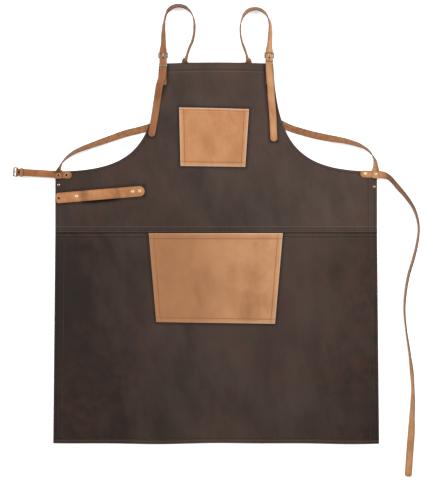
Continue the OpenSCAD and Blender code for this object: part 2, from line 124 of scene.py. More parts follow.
# Painted shade for leather that stands on edge or climbs; the same blend also carries the darker
# upper stretch of the straps.
TURN_PAINTED_SHADE = Shade(78, 52, 36)
TURN_PAINTED_SHARE = 0.8
SHADOW_SHARE = 0.75
# Painted shadow on the panels round the pockets, the towel strap and the strap tails.
PAINTED_SHADOW_REACH = 9 * MM
PAINTED_SHADOW_SHARE = 0.62
STREAK_TURN = math.radians(78)
STREAK_STRETCH = 2.6


# ------------------------------------------------------------------ shader wiring


class Wiring:
    """Adds and links the nodes of one shader tree."""

    def __init__(self, tree: bpy.types.NodeTree) -> None:
        """Starts on a tree.

        Args:
            tree: the node tree of a material or a node group.
        """
        self.tree = tree

    def add(self, kind: str, **settings: object) -> bpy.types.Node:
        """Adds a node and sets its properties.

        Args:
            kind: the node's type name.
            settings: properties of the node.

        Returns:
            The new node.
        """
        node = self.tree.nodes.new(kind)
        for name, value in settings.items():
            setattr(node, name, value)
        return node

    def feed(self, socket: Socket, value: Socket | float | Sequence[float]) -> None:
        """Links a socket into an input, or sets the input to a plain value."""
        if isinstance(value, Socket):
            self.tree.links.new(value, socket)
        else:
            socket.default_value = value

    def math(self, operation: str, a: Socket | float, b: Socket | float = 0.0) -> Socket:
        """Does arithmetic on two values.

        Args:
            operation: the Math node's operation.
            a: first value.
            b: second value.

        Returns:
            The result's socket.
        """
        node = self.add("ShaderNodeMath", operation=operation)
        self.feed(node.inputs[0], a)
        self.feed(node.inputs[1], b)
        return node.outputs[0]

    def blend(self, share: Socket | float, a: object, b: object) -> Socket:
        """Mixes two colours.

        Args:
            share: 0 for all a, 1 for all b.
            a: colour or socket.
            b: colour or socket.

        Returns:
            The mixed colour's socket.
        """
        node = self.add("ShaderNodeMix", data_type="RGBA")
        self.feed(node.inputs[0], share)
        self.feed(node.inputs[6], a)
        self.feed(node.inputs[7], b)
        return node.outputs[2]

    def span(
        self, value: Socket, span: tuple[float, float], to: tuple[float, float] = (0.0, 1.0)
    ) -> Socket:
        """Maps a value from one range smoothly to another, and stops at its ends.

        Args:
            value: the value.
            span: its range.
            to: the range of the result.

        Returns:
            The result's socket.
        """
        node = self.add("ShaderNodeMapRange", interpolation_type="SMOOTHSTEP")
        for socket, number in zip(node.inputs, (value, *span, *to)):
            self.feed(socket, number)
        return node.outputs[0]

    def cloud(
        self, place: Socket, scale: Socket | float, detail: float = 2.0, rough: float = 0.5
    ) -> Socket:
        """Makes soft noise between 0 and 1.

        Args:
            place: coordinates.
            scale: lumps per metre.
            detail: octaves.
            rough: how strong the fine octaves are.

        Returns:
            The noise value's socket.
        """
        node = self.add("ShaderNodeTexNoise")
        self.feed(node.inputs["Vector"], place)
        self.feed(node.inputs["Scale"], scale)
        self.feed(node.inputs["Detail"], detail)
        self.feed(node.inputs["Roughness"], rough)
        return node.outputs[0]

    def stretched(self, place: Socket, scale: tuple[float, float, float]) -> Socket:
        """Coordinates scaled by a different amount along each axis."""
        node = self.add("ShaderNodeMapping")
        self.feed(node.inputs["Vector"], place)
        self.feed(node.inputs["Scale"], scale)
        return node.outputs[0]

    def place(self) -> Socket:
        """The piece's own coordinates, in metres."""
        return self.add("ShaderNodeTexCoord").outputs["Object"]

    def mark(self, name: str) -> Socket:
        """A number stored on the piece's vertices."""
        return self.add("ShaderNodeAttribute", attribute_name=name).outputs["Fac"]

    def group(self, tree: bpy.types.NodeTree, **inputs: Socket | float) -> bpy.types.Node:
        """Places a node group.

        Args:
            tree: the group.
            inputs: its input values, with _ for a space.

        Returns:
            The group's node.
        """
        node = self.add("ShaderNodeGroup", node_tree=tree)
        for name, value in inputs.items():
            self.feed(node.inputs[name.replace("_", " ")], value)
        return node


class Effects:
    """Shader node groups that several finishes share, each made once."""

    def __init__(self) -> None:
        """Builds every group."""
        self.grain = self._grain()
        self.clouds = self._clouds()
        self.line = self._line()
        self.rim = self._rim()
        self.twist = self._twist()
        self.age = self._age()

    @staticmethod
    def _open(
        name: str, inputs: dict[str, float], outputs: Sequence[str]
    ) -> tuple[Wiring, bpy.types.Node, bpy.types.Node]:
        """Starts a group with named number sockets.

        Args:
            name: the group's name.
            inputs: input names and their usual values.
            outputs: output names.

        Returns:
            The wiring and the group's input and output nodes.
        """
        tree = bpy.data.node_groups.new(name, "ShaderNodeTree")
        for socket, usual in inputs.items():
            made = tree.interface.new_socket(
                name=socket, in_out="INPUT", socket_type="NodeSocketFloat"
            )
            made.default_value = usual
        for socket in outputs:
            tree.interface.new_socket(
                name=socket, in_out="OUTPUT", socket_type="NodeSocketFloat"
            )
        wires = Wiring(tree)
        return wires, wires.add("NodeGroupInput"), wires.add("NodeGroupOutput")

    def _grain(self) -> bpy.types.NodeTree:
        """Pebbled leather grain with pores and finer hair lines."""
        w, given, out = self._open(
            "Leather grain", {"Scale": 700.0, "Wrinkle": 0.3}, ["Height", "Pores"]
        )
        place = w.place()
        cells = w.add("ShaderNodeTexVoronoi", feature="DISTANCE_TO_EDGE")
        w.feed(cells.inputs["Vector"], place)
        w.feed(cells.inputs["Scale"], given.outputs["Scale"])
        pebbles = w.span(cells.outputs["Distance"], (0.0, 0.35))
        broad = w.math("MULTIPLY", given.outputs["Scale"], 0.12)
        folds = w.cloud(place, broad, 3.0, 0.6)
        ridge = w.math("MULTIPLY", w.math("ABSOLUTE", w.math("SUBTRACT", folds, 0.5)), 4.0)
        wrinkles = w.math("MULTIPLY", ridge, given.outputs["Wrinkle"])
        w.feed(out.inputs["Height"], w.math("ADD", pebbles, wrinkles))
        pores = w.span(cells.outputs["Distance"], (0.0, 0.12), (1.0, 0.0))
        w.feed(out.inputs["Pores"], pores)
        return w.tree

    def _clouds(self) -> bpy.types.NodeTree:
        """Broad and fine blotches of dye and oil, and streaks that run one way."""
        w, given, out = self._open(
            "Hide clouds", {"Scale": 9.0}, ["Cloud", "Fine", "Streak"]
        )
        place = w.place()
        scale = given.outputs["Scale"]
        w.feed(out.inputs["Cloud"], w.span(w.cloud(place, scale, 3.0, 0.55), (0.3, 0.7)))
        fine = w.cloud(place, w.math("MULTIPLY", scale, 6.0), 4.0, 0.6)
        w.feed(out.inputs["Fine"], w.span(fine, (0.25, 0.75)))
        turned_place = w.add("ShaderNodeVectorRotate", rotation_type="Z_AXIS")
        w.feed(turned_place.inputs["Vector"], place)
        turned_place.inputs["Angle"].default_value = STREAK_TURN
        smear = w.stretched(turned_place.outputs[0], (1.0, STREAK_STRETCH, 1.0))
        broad = w.cloud(smear, w.math("MULTIPLY", scale, 0.9), 5.0, 0.62)
        w.feed(out.inputs["Streak"], w.span(broad, (0.36, 0.64)))
        return w.tree

    def _line(self) -> bpy.types.NodeTree:
        """A soft line at a set distance from an edge."""
        w, given, out = self._open(
            "Line along edge", {"Distance": 1.0, "Inset": 0.01, "Width": 0.001}, ["Mask"]
        )
        off = w.math("SUBTRACT", given.outputs["Distance"], given.outputs["Inset"])
        share = w.math("DIVIDE", w.math("ABSOLUTE", off), given.outputs["Width"])
        w.feed(out.inputs["Mask"], w.span(share, (0.2, 1.0), (1.0, 0.0)))
        return w.tree

    def _rim(self) -> bpy.types.NodeTree:
        """Wear that fades away from an edge, uneven along it."""
        w, given, out = self._open(
            "Worn rim", {"Distance": 1.0, "Reach": 0.002}, ["Mask"]
        )
        share = w.math("DIVIDE", given.outputs["Distance"], given.outputs["Reach"])
        fade = w.span(share, (0.0, 1.0), (1.0, 0.0))
        patchy = w.span(w.cloud(w.place(), 130.0, 3.0, 0.6), (0.2, 0.7), (0.45, 1.0))
        w.feed(out.inputs["Mask"], w.math("MULTIPLY", fade, patchy))
        return w.tree

    def _twist(self) -> bpy.types.NodeTree:
        """The plies of a waxed sewing thread."""
        w, given, out = self._open("Thread twist", {"Scale": 900.0}, ["Height", "Shade"])
        wave = w.add("ShaderNodeTexWave", bands_direction="DIAGONAL")
        w.feed(wave.inputs["Vector"], w.place())
        w.feed(wave.inputs["Scale"], given.outputs["Scale"])
        w.feed(wave.inputs["Distortion"], 1.5)
        w.feed(out.inputs["Height"], wave.outputs["Fac"])
        w.feed(out.inputs["Shade"], w.span(w.cloud(w.place(), 160.0, 2.0), (0.3, 0.7)))
        return w.tree

    def _age(self) -> bpy.types.NodeTree:
        """Tarnish and fine scratches on handled metal."""
        w, given, out = self._open("Metal age", {"Scale": 300.0}, ["Tarnish", "Scratch"])
        place = w.place()
        blots = w.cloud(place, given.outputs["Scale"], 4.0, 0.65)
        w.feed(out.inputs["Tarnish"], w.span(blots, (0.4, 0.7)))
        hair = w.stretched(place, (1.0, 14.0, 4.0))
        hairs = w.cloud(hair, w.math("MULTIPLY", given.outputs["Scale"], 2.0), 2.0)
        w.feed(out.inputs["Scratch"], w.span(hairs, (0.45, 0.6)))
        return w.tree


# ------------------------------------------------------------------ finishes


def new_material(name: str) -> tuple[Material, Wiring, bpy.types.Node]:
    """Makes a material with a Principled shader.

    Args:
        name: the material's name.

    Returns:
        The material, its wiring and its Principled node.
    """
    made = bpy.data.materials.new(name)
    made.use_nodes = True
    made.node_tree.nodes.clear()
    w = Wiring(made.node_tree)
    shader = w.add("ShaderNodeBsdfPrincipled")
    w.feed(w.add("ShaderNodeOutputMaterial").inputs["Surface"], shader.outputs["BSDF"])
    return made, w, shader


def raise_bump(
    w: Wiring, shader: bpy.types.Node, height: Socket, depth: float, strength: float = 1.0
) -> None:
    """Gives a shader relief.

    Args:
        w: the material's wiring.
        shader: its Principled node.
        height: the relief, about 0 to 1.
        depth: how deep 1 is, in metres.
        strength: the Bump node's strength.
    """
    bump = w.add("ShaderNodeBump")
    bump.inputs["Strength"].default_value = strength
    bump.inputs["Distance"].default_value = depth
    w.feed(bump.inputs["Height"], height)
    w.feed(shader.inputs["Normal"], bump.outputs["Normal"])


@dataclass(frozen=True)
class PressedLine:
    """A line pressed into leather at a distance from one of its edges."""

    mark: str
    inset: float
    half: float
    tone: float
    depth: float = -1.0


def press(
    w: Wiring, effects: Effects, lines: Iterable[PressedLine], shades: tuple[Shade, Shade],
    colour: Socket, height: Socket,
) -> tuple[Socket, Socket]:
    """Presses lines into a leather's colour and height; a darkening line is the pressed leather's
    own darker colour with painted shade in its groove.

    Args:
        w: the material's wiring.
        effects: the shared node groups.
        lines: the lines.
        shades: the colour of lines with a tone above 0, and of the others.
        colour: the leather's colour so far.
        height: its height so far.

    Returns:
        The new colour and height.
    """
    for line in lines:
        mask = w.group(
            effects.line, Distance=w.mark(line.mark), Inset=line.inset, Width=line.half
        ).outputs["Mask"]
        # Darkening lines: the pressed leather's own darker colour with painted shade in the
        # groove.
        target = shades[0] if line.tone > 0 else shades[1]
        tone = w.math("MULTIPLY", mask, abs(line.tone))
        colour = w.blend(tone, colour, target.linear())
        height = w.math("ADD", height, w.math("MULTIPLY", mask, line.depth))
    return colour, height


def paint_turn_shade(w: Wiring, colour: Socket) -> Socket:
    """Paints shade on leather where its strip stands on edge or climbs, and darkens a strap's
    upper stretch where it stands on edge.
    """
    share = w.math("MULTIPLY", w.mark("turn"), TURN_PAINTED_SHARE)
    return w.blend(share, colour, TURN_PAINTED_SHADE.linear())


@dataclass(frozen=True)
class OiledLeather:
    """Oiled pull-up leather: dark, clouded, with lines pressed along its hems and a painted sheen
    across the panel.
    """

    name: str
    dark: Shade
    light: Shade
    warm: Shade
    rim: Shade
    # Painted sheen: base share, its slope across x and y, and its bow across x.
    sheen_slope: tuple[float, float, float, float]
    lines: tuple[PressedLine, ...]
    # Colour of pressed lines and pores, also used for the painted shadow round the parts.
    line_shade: Shade = Shade(26, 20, 17)
    shine: float = 0.16

    def build(self, effects: Effects) -> Material:
        """Makes the material.

        Args:
            effects: the shared node groups.

        Returns:
            The material.
        """
        made, w, shader = new_material(self.name)
        clouds = w.group(effects.clouds, Scale=7.0)
        grain = w.group(effects.grain, Scale=620.0, Wrinkle=0.5)
        axes = w.add("ShaderNodeSeparateXYZ")
        w.feed(axes.inputs[0], w.place())
        # Painted sheen: lighter to the right and upwards, and with a negative bow lighter in the
        # middle than at the sides.
        base, per_x, per_y, bow = self.sheen_slope
        tilt = w.math("ADD", w.math("MULTIPLY", axes.outputs[0], per_x), base)
        tilt = w.math("ADD", tilt, w.math("MULTIPLY", axes.outputs[1], per_y))
        squared = w.math("MULTIPLY", axes.outputs[0], axes.outputs[0])
        tilt = w.math("ADD", tilt, w.math("MULTIPLY", squared, bow))
        lumps = w.math("MULTIPLY", w.math("SUBTRACT", clouds.outputs["Cloud"], 0.5), 0.36)
        streaks = w.math("MULTIPLY", w.math("SUBTRACT", clouds.outputs["Streak"], 0.5), 0.34)
        share = w.math("ADD", w.math("ADD", tilt, lumps), streaks)
        node = w.add("ShaderNodeClamp")
        w.feed(node.inputs[0], share)
        colour = w.blend(node.outputs[0], self.dark.linear(), self.light.linear())
        broad = w.group(effects.clouds, Scale=4.3)
        patches = w.math("MULTIPLY", broad.outputs["Cloud"], clouds.outputs["Fine"])
        colour = w.blend(w.math("MULTIPLY", patches, 0.55), colour, self.warm.linear())
        pits = w.math("MULTIPLY", grain.outputs["Pores"], 0.18)
        colour = w.blend(pits, colour, self.line_shade.linear())
        height = w.math("MULTIPLY", grain.outputs["Height"], 0.12)
        shades = (self.line_shade, self.rim)
        colour, height = press(w, effects, self.lines, shades, colour, height)
        # Painted shadow round the pockets, the towel strap and the strap tails.
        painted_shadow = w.span(w.mark("patch"), (0.0, PAINTED_SHADOW_REACH), (PAINTED_SHADOW_SHARE, 0.0))
        colour = w.blend(painted_shadow, colour, self.line_shade.linear())
        worn = w.group(effects.rim, Distance=w.mark("rim"), Reach=2.2 * MM).outputs["Mask"]
        colour = w.blend(w.math("MULTIPLY", worn, 0.55), colour, self.rim.linear())
        w.feed(shader.inputs["Base Color"], colour)
        rough = w.span(clouds.outputs["Fine"], (0.0, 1.0), (0.5, 0.64))
        w.feed(shader.inputs["Roughness"], rough)
        shader.inputs["Specular IOR Level"].default_value = self.shine
        raise_bump(w, shader, height, 0.35 * MM)
        return made


@dataclass(frozen=True)
class TanLeather:
    """Vegetable-tanned leather: warm and clouded, with rims of a shade of their own."""

    name: str
    base: Shade
    deep: Shade
    pale: Shade
    rim: Shade
    rim_reach: float
    groove: Shade = Shade(176, 104, 58)
    lines: tuple[PressedLine, ...] = ()
    cloud_scale: float = 16.0
    rim_share: float = 0.7
    edge: Shade = Shade(228, 198, 168)
    shadow: tuple[float, float] = (-9.0, -8.0)

    def build(self, effects: Effects) -> Material:
        """Makes the material.

        Args:
            effects: the shared node groups.

        Returns:
            The material.
        """
        made, w, shader = new_material(self.name)
        clouds = w.group(effects.clouds, Scale=self.cloud_scale)
        grain = w.group(effects.grain, Scale=850.0, Wrinkle=0.35)
        colour = w.blend(clouds.outputs["Cloud"], self.deep.linear(), self.base.linear())
        glow = w.math("MULTIPLY", clouds.outputs["Streak"], 0.45)
        colour = w.blend(glow, colour, self.pale.linear())
        spots = w.math("MULTIPLY", clouds.outputs["Fine"], 0.22)
        colour = w.blend(spots, colour, self.deep.linear())
        worn = w.group(effects.rim, Distance=w.mark("rim"), Reach=self.rim_reach)
        rim = w.math("MULTIPLY", worn.outputs["Mask"], self.rim_share)
        colour = w.blend(rim, colour, self.rim.linear())
        height = w.math("MULTIPLY", grain.outputs["Height"], 0.15)
        shades = (self.groove, self.edge)
        colour, height = press(w, effects, self.lines, shades, colour, height)
        pits = w.math("MULTIPLY", grain.outputs["Pores"], 0.12)
        colour = w.blend(pits, colour, self.deep.linear())
        axes = w.add("ShaderNodeSeparateXYZ")
        w.feed(axes.inputs[0], w.place())
        dusk = w.span(axes.outputs[0], self.shadow, (SHADOW_SHARE, 0.0))
        colour = w.blend(dusk, colour, self.deep.linear())
        w.feed(shader.inputs["Base Color"], paint_turn_shade(w, colour))
        w.feed(
            shader.inputs["Roughness"],
            w.span(clouds.outputs["Fine"], (0.0, 1.0), (0.5, 0.66)),
        )
        shader.inputs["Specular IOR Level"].default_value = 0.2
        raise_bump(w, shader, height, 0.25 * MM)
        return made


@dataclass(frozen=True)
class FleshSide:
    """The napped back of leather, or its cut edge: short fibres, no gloss."""

    name: str
    base: Shade
    deep: Shade
    fibre: float = 1500.0
    nap: float = 0.2 * MM

    def build(self, effects: Effects) -> Material:
        """Makes the material.

        Args:
            effects: the shared node groups.

        Returns:
            The material.
        """
        made, w, shader = new_material(self.name)
        clouds = w.group(effects.clouds, Scale=26.0)
        fibres = w.cloud(w.place(), self.fibre, 3.0, 0.7)
        colour = w.blend(clouds.outputs["Fine"], self.base.linear(), self.deep.linear())
        tufts = w.math("MULTIPLY", w.span(fibres, (0.35, 0.7)), 0.4)
        colour = w.blend(tufts, colour, self.deep.linear())
        w.feed(shader.inputs["Base Color"], paint_turn_shade(w, colour))
        w.feed(shader.inputs["Roughness"], w.span(fibres, (0.2, 0.8), (0.8, 0.95)))
        shader.inputs["Sheen Weight"].default_value = 0.05
        raise_bump(w, shader, fibres, self.nap)
        return made


@dataclass(frozen=True)
class WaxedThread:
    """Waxed, twisted sewing thread."""

    name: str
    base: Shade
    deep: Shade

    def build(self, effects: Effects) -> Material:
        """Makes the material.

        Args:
            effects: the shared node groups.

        Returns:
            The material.
        """
        made, w, shader = new_material(self.name)
        twist = w.group(effects.twist, Scale=420.0)
        colour = w.blend(twist.outputs["Shade"], self.deep.linear(), self.base.linear())
        plies = w.math("MULTIPLY", twist.outputs["Height"], 0.35)
        colour = w.blend(plies, colour, self.deep.linear())
        w.feed(shader.inputs["Base Color"], colour)
        w.feed(
            shader.inputs["Roughness"],
            w.span(twist.outputs["Height"], (0.0, 1.0), (0.45, 0.7)),
        )
        raise_bump(w, shader, twist.outputs["Height"], 0.12 * MM)
        return made


@dataclass(frozen=True)
class AgedMetal:
    """Plated metal, tarnished in its hollows and finely scratched."""

    name: str
    bright: Shade
    tarnish: Shade
    polish: tuple[float, float]
    tarnish_share: float

    def build(self, effects: Effects) -> Material:
        """Makes the material.

        Args:
            effects: the shared node groups.

        Returns:
            The material.
        """
        made, w, shader = new_material(self.name)
        age = w.group(effects.age, Scale=260.0)
        share = w.math("MULTIPLY", age.outputs["Tarnish"], self.tarnish_share)
        colour = w.blend(share, self.bright.linear(), self.tarnish.linear())
        w.feed(shader.inputs["Base Color"], colour)
        w.feed(
            shader.inputs["Roughness"],
            w.span(age.outputs["Tarnish"], (0.0, 1.0), self.polish),
        )
        shader.inputs["Metallic"].default_value = 1.0
        raise_bump(w, shader, age.outputs["Scratch"], 0.02 * MM)
        return made


@dataclass(frozen=True)
class StudioPaper:
    """The plain pale floor, lit a little from beneath."""

    name: str = "Studio paper"
    glow: float = 0.45

    def build(self) -> Material:
        """Makes the material.

        Returns:
            The material.
        """
        made, w, shader = new_material(self.name)
        tooth = w.cloud(w.place(), 400.0, 3.0)
        colour = w.blend(tooth, (0.93, 0.93, 0.93, 1.0), (0.95, 0.95, 0.95, 1.0))
        w.feed(shader.inputs["Base Color"], colour)
        shader.inputs["Roughness"].default_value = 0.9
        shader.inputs["Specular IOR Level"].default_value = 0.1
        shader.inputs["Emission Color"].default_value = (1.0, 1.0, 1.0, 1.0)
        shader.inputs["Emission Strength"].default_value = self.glow
        return made


SIDE_HEM = 19 * MM
FOOT_HEM = 9.5 * MM
ARM_HEM = 6 * MM
TOP_HEM = 16 * MM
POCKET_HEM = 9 * MM
CHEST_TOP_HEM = 5 * MM
WAIST_TOP_HEM = 12 * MM


class Finishes:
    """Every finish of the apron, each made once."""

    def __init__(self) -> None:
        """Builds the shared effects and the materials."""
        fx = Effects()
        umber = Shade(84, 54, 40)
        self.bib = OiledLeather(
            "Oiled leather, bib", Shade(58, 47, 41), Shade(90, 74, 66), umber,
            Shade(108, 94, 84), (0.27, 1.1, 0.5, 0.0),
            (
                PressedLine("side", 5.5 * MM, 1.3 * MM, 0.5),
                PressedLine("side", SIDE_HEM, 1.6 * MM, 0.35),
                PressedLine("arm", ARM_HEM, 1.4 * MM, 0.5),
                PressedLine("top", TOP_HEM, 1.6 * MM, 0.45),
                PressedLine("top", TOP_HEM + 3 * MM, 1.4 * MM, -0.35, 0.6),
                PressedLine("foot", 2.5 * MM, 1.3 * MM, 0.5),
                PressedLine("foot", 7 * MM, 1.3 * MM, 0.5),
                PressedLine("foot", 11 * MM, 2 * MM, -0.2, 0.5),
            ),
        ).build(fx)
        self.skirt = OiledLeather(
            "Oiled leather, skirt", Shade(42, 33, 28), Shade(76, 62, 55), umber,
            Shade(96, 82, 73), (0.95, 0.83, 0.8, -7.6),
            (
                PressedLine("side", 5.5 * MM, 1.3 * MM, 0.5),
                PressedLine("side", SIDE_HEM, 1.6 * MM, 0.4),
                PressedLine("foot", FOOT_HEM, 1.5 * MM, 0.6),
                PressedLine("foot", 5.5 * MM, 2.2 * MM, -0.35, 0.4),
                PressedLine("top", 15.5 * MM, 1.6 * MM, 0.4),
                PressedLine("top", 22 * MM, 2.0 * MM, 0.35),
                PressedLine("top", 18.8 * MM, 1.4 * MM, -0.25, 0.6),
            ),
        ).build(fx)
        patch_lines = (
            PressedLine("side", POCKET_HEM, 1.5 * MM, 0.55, -0.8),
            PressedLine("foot", POCKET_HEM, 1.5 * MM, 0.55, -0.8),
            PressedLine("rim", 0.3 * MM, 1.7 * MM, -0.55),
        )
        tan, tan_deep, tan_pale = Shade(197, 141, 95), Shade(180, 120, 76), Shade(208, 155, 108)
        tan_rim = Shade(214, 168, 132)
        self.chest = TanLeather(
            "Tan leather, chest pocket", tan, tan_deep, tan_pale, tan_rim, 9 * MM,
            lines=(*patch_lines, PressedLine("top", CHEST_TOP_HEM, 1.4 * MM, 0.5, -0.8)),
        ).build(fx)
        self.waist = TanLeather(
            "Tan leather, waist pocket", Shade(201, 147, 104), Shade(166, 113, 75),
            Shade(211, 158, 113), Shade(213, 165, 126), 8 * MM,
            lines=(*patch_lines, PressedLine("top", WAIST_TOP_HEM, 1.5 * MM, 0.5, -0.8)),
            cloud_scale=11.0, shadow=(-0.13, 0.1),
        ).build(fx)
        crease = PressedLine("rim", 2.1 * MM, 0.9 * MM, 0.6, -0.5)
        self.towel = TanLeather(
            "Tan leather, towel strap", Shade(196, 138, 91), Shade(172, 112, 68),
            Shade(208, 156, 112), Shade(138, 96, 66), 1.5 * MM, lines=(crease,), cloud_scale=30.0,
        ).build(fx)
        self.strap = TanLeather(
            "Tan leather, straps", Shade(200, 146, 100), Shade(176, 120, 76),
            Shade(214, 166, 122), Shade(132, 92, 62), 1.5 * MM, lines=(crease,), cloud_scale=34.0,
        ).build(fx)
        self.left_strap = TanLeather(
            "Tan leather, left strap", Shade(155, 103, 65), Shade(131, 82, 50),
            Shade(170, 120, 82), Shade(112, 76, 51), 1.5 * MM, lines=(crease,), cloud_scale=34.0,
        ).build(fx)
        self.waist_strap = TanLeather(
            "Tan leather, waist strap", Shade(164, 106, 66), Shade(140, 82, 48),
            Shade(184, 128, 86), Shade(120, 80, 54), 1.5 * MM, lines=(crease,), cloud_scale=34.0,
        ).build(fx)
        self.tan_flesh = FleshSide(
            "Tan leather, flesh side", Shade(166, 114, 69), Shade(126, 80, 44)
        ).build(fx)
        self.tan_edge = FleshSide(
            "Tan leather, cut edge", Shade(118, 83, 57), Shade(80, 54, 36), 2200.0, 0.1 * MM
        ).build(fx)
        self.brown_flesh = FleshSide(
            "Brown leather, flesh side", Shade(122, 98, 80), Shade(92, 71, 57)
        ).build(fx)
        self.brown_edge = FleshSide(
            "Brown leather, cut edge", Shade(64, 50, 42), Shade(40, 31, 27), 2200.0, 0.1 * MM
        ).build(fx)
        self.brown_thread = WaxedThread(
            "Brown thread", Shade(104, 86, 74), Shade(66, 52, 44)
        ).build(fx)
        self.tan_thread = WaxedThread(
            "Rust thread", Shade(196, 128, 78), Shade(152, 88, 48)
        ).build(fx)
        self.brass = AgedMetal(
            "Pale brass", Shade(246, 214, 168), Shade(178, 132, 84), (0.56, 0.72), 0.6
        ).build(fx)
        # Painted dark reflection for the middles of the hollow rivet caps.
        self.bronze = AgedMetal(
            "Painted dark reflection", Shade(92, 58, 38), Shade(48, 30, 20), (0.4, 0.6), 0.7
        ).build(fx)
        self.nickel = AgedMetal(
            "Aged nickel", Shade(206, 184, 152), Shade(104, 80, 58), (0.26, 0.45), 0.8
        ).build(fx)


# ------------------------------------------------------------------ mesh making


def make_object(
    name: str,
    points: Sequence[Vector],
    faces: Sequence[Sequence[int]],
    finishes: Sequence[Material],
    which: Sequence[int] | None = None,
    marks: dict[str, Sequence[float]] | None = None,
    crease: float = SMOOTH_LIMIT,
) -> Object:
    """Makes a closed mesh object with smooth shading.

    Args:
        name: the piece's name.
        points: vertex positions.
        faces: vertex numbers of each face.
        finishes: materials.
        which: the material of each face.
        marks: numbers to store on the vertices, by name.
        crease: edges sharper than this angle stay sharp.

    Returns:
        The object, linked to the scene.
    """
    mesh = bpy.data.meshes.new(name)
    mesh.from_pydata([tuple(p) for p in points], [], [tuple(f) for f in faces])
    for finish in finishes:
        mesh.materials.append(finish)
    if which is not None:
        mesh.polygons.foreach_set("material_index", list(which))
    work = bmesh.new()
    work.from_mesh(mesh)
    bmesh.ops.recalc_face_normals(work, faces=work.faces)
    work.to_mesh(mesh)
    work.free()
    for mark, numbers in (marks or {}).items():
        layer = mesh.attributes.new(mark, "FLOAT", "POINT")
        layer.data.foreach_set("value", list(numbers))
    mesh.shade_smooth()
    mesh.set_sharp_from_angle(angle=crease)
    mesh.update()
    made = bpy.data.objects.new(name, mesh)
    bpy.context.scene.collection.objects.link(made)
    return made


@dataclass
class Slab:
    """A cut sheet of leather as two matching grids of points, closed at its rims."""

    name: str
    top: Grid
    low: Grid
    marks: dict[str, list[list[float]]] = field(default_factory=dict)
    keep: Callable[[int, int], bool] = lambda row, column: True

    def build(self, finishes: Sequence[Material]) -> Object:
        """Makes the piece.

        Args:
            finishes: grain, flesh and edge materials.

        Returns:
            The object.
        """
        rows, columns = len(self.top), len(self.top[0])
        kept = {
            (i, j) for i in range(rows - 1) for j in range(columns - 1) if self.keep(i, j)
        }
        used = sorted({(i + a, j + b) for i, j in kept for a in (0, 1) for b in (0, 1)})
        number = {spot: n for n, spot in enumerate(used)}
        half = len(used)
        points = [self.top[i][j] for i, j in used] + [self.low[i][j] for i, j in used]
        faces: list[tuple[int, ...]] = []
        which: list[int] = []
        for i, j in sorted(kept):
            ring = ((i, j), (i, j + 1), (i + 1, j + 1), (i + 1, j))
            beyond = ((i - 1, j), (i, j + 1), (i + 1, j), (i, j - 1))
            corners = [number[spot] for spot in ring]
            faces.append(tuple(corners))
            which.append(Skin.GRAIN)
            faces.append(tuple(n + half for n in reversed(corners)))
            which.append(Skin.FLESH)
            for k, cell in enumerate(beyond):
                if cell not in kept:
                    a, b = corners[k], corners[(k + 1) % 4]
                    faces.append((b, a, a + half, b + half))
                    which.append(Skin.EDGE)
        marks = {
            mark: [grid[i][j] for i, j in used] * 2 for mark, grid in self.marks.items()
        }
        return make_object(self.name, points, faces, finishes, which, marks)


@dataclass(frozen=True)
class Station:
    """A place along a strip.

    Holds its middle, its direction across, its grain side, its distance from the
    strip's start, and how much it is darkened: painted shade where it stands on edge or
    climbs, and the darker upper stretch of a strap.
    """

    point: Vector
    wide: Vector
    face: Vector
    s: float
    turn: float = 0.0


# Weight of the painted shade on edge, and of the darker upper stretch.
EDGE_ON_SHADE_WEIGHT = 0.7
UPPER_DARK_WEIGHT = 0.5
UPPER_DARK_FADE = 40 * MM


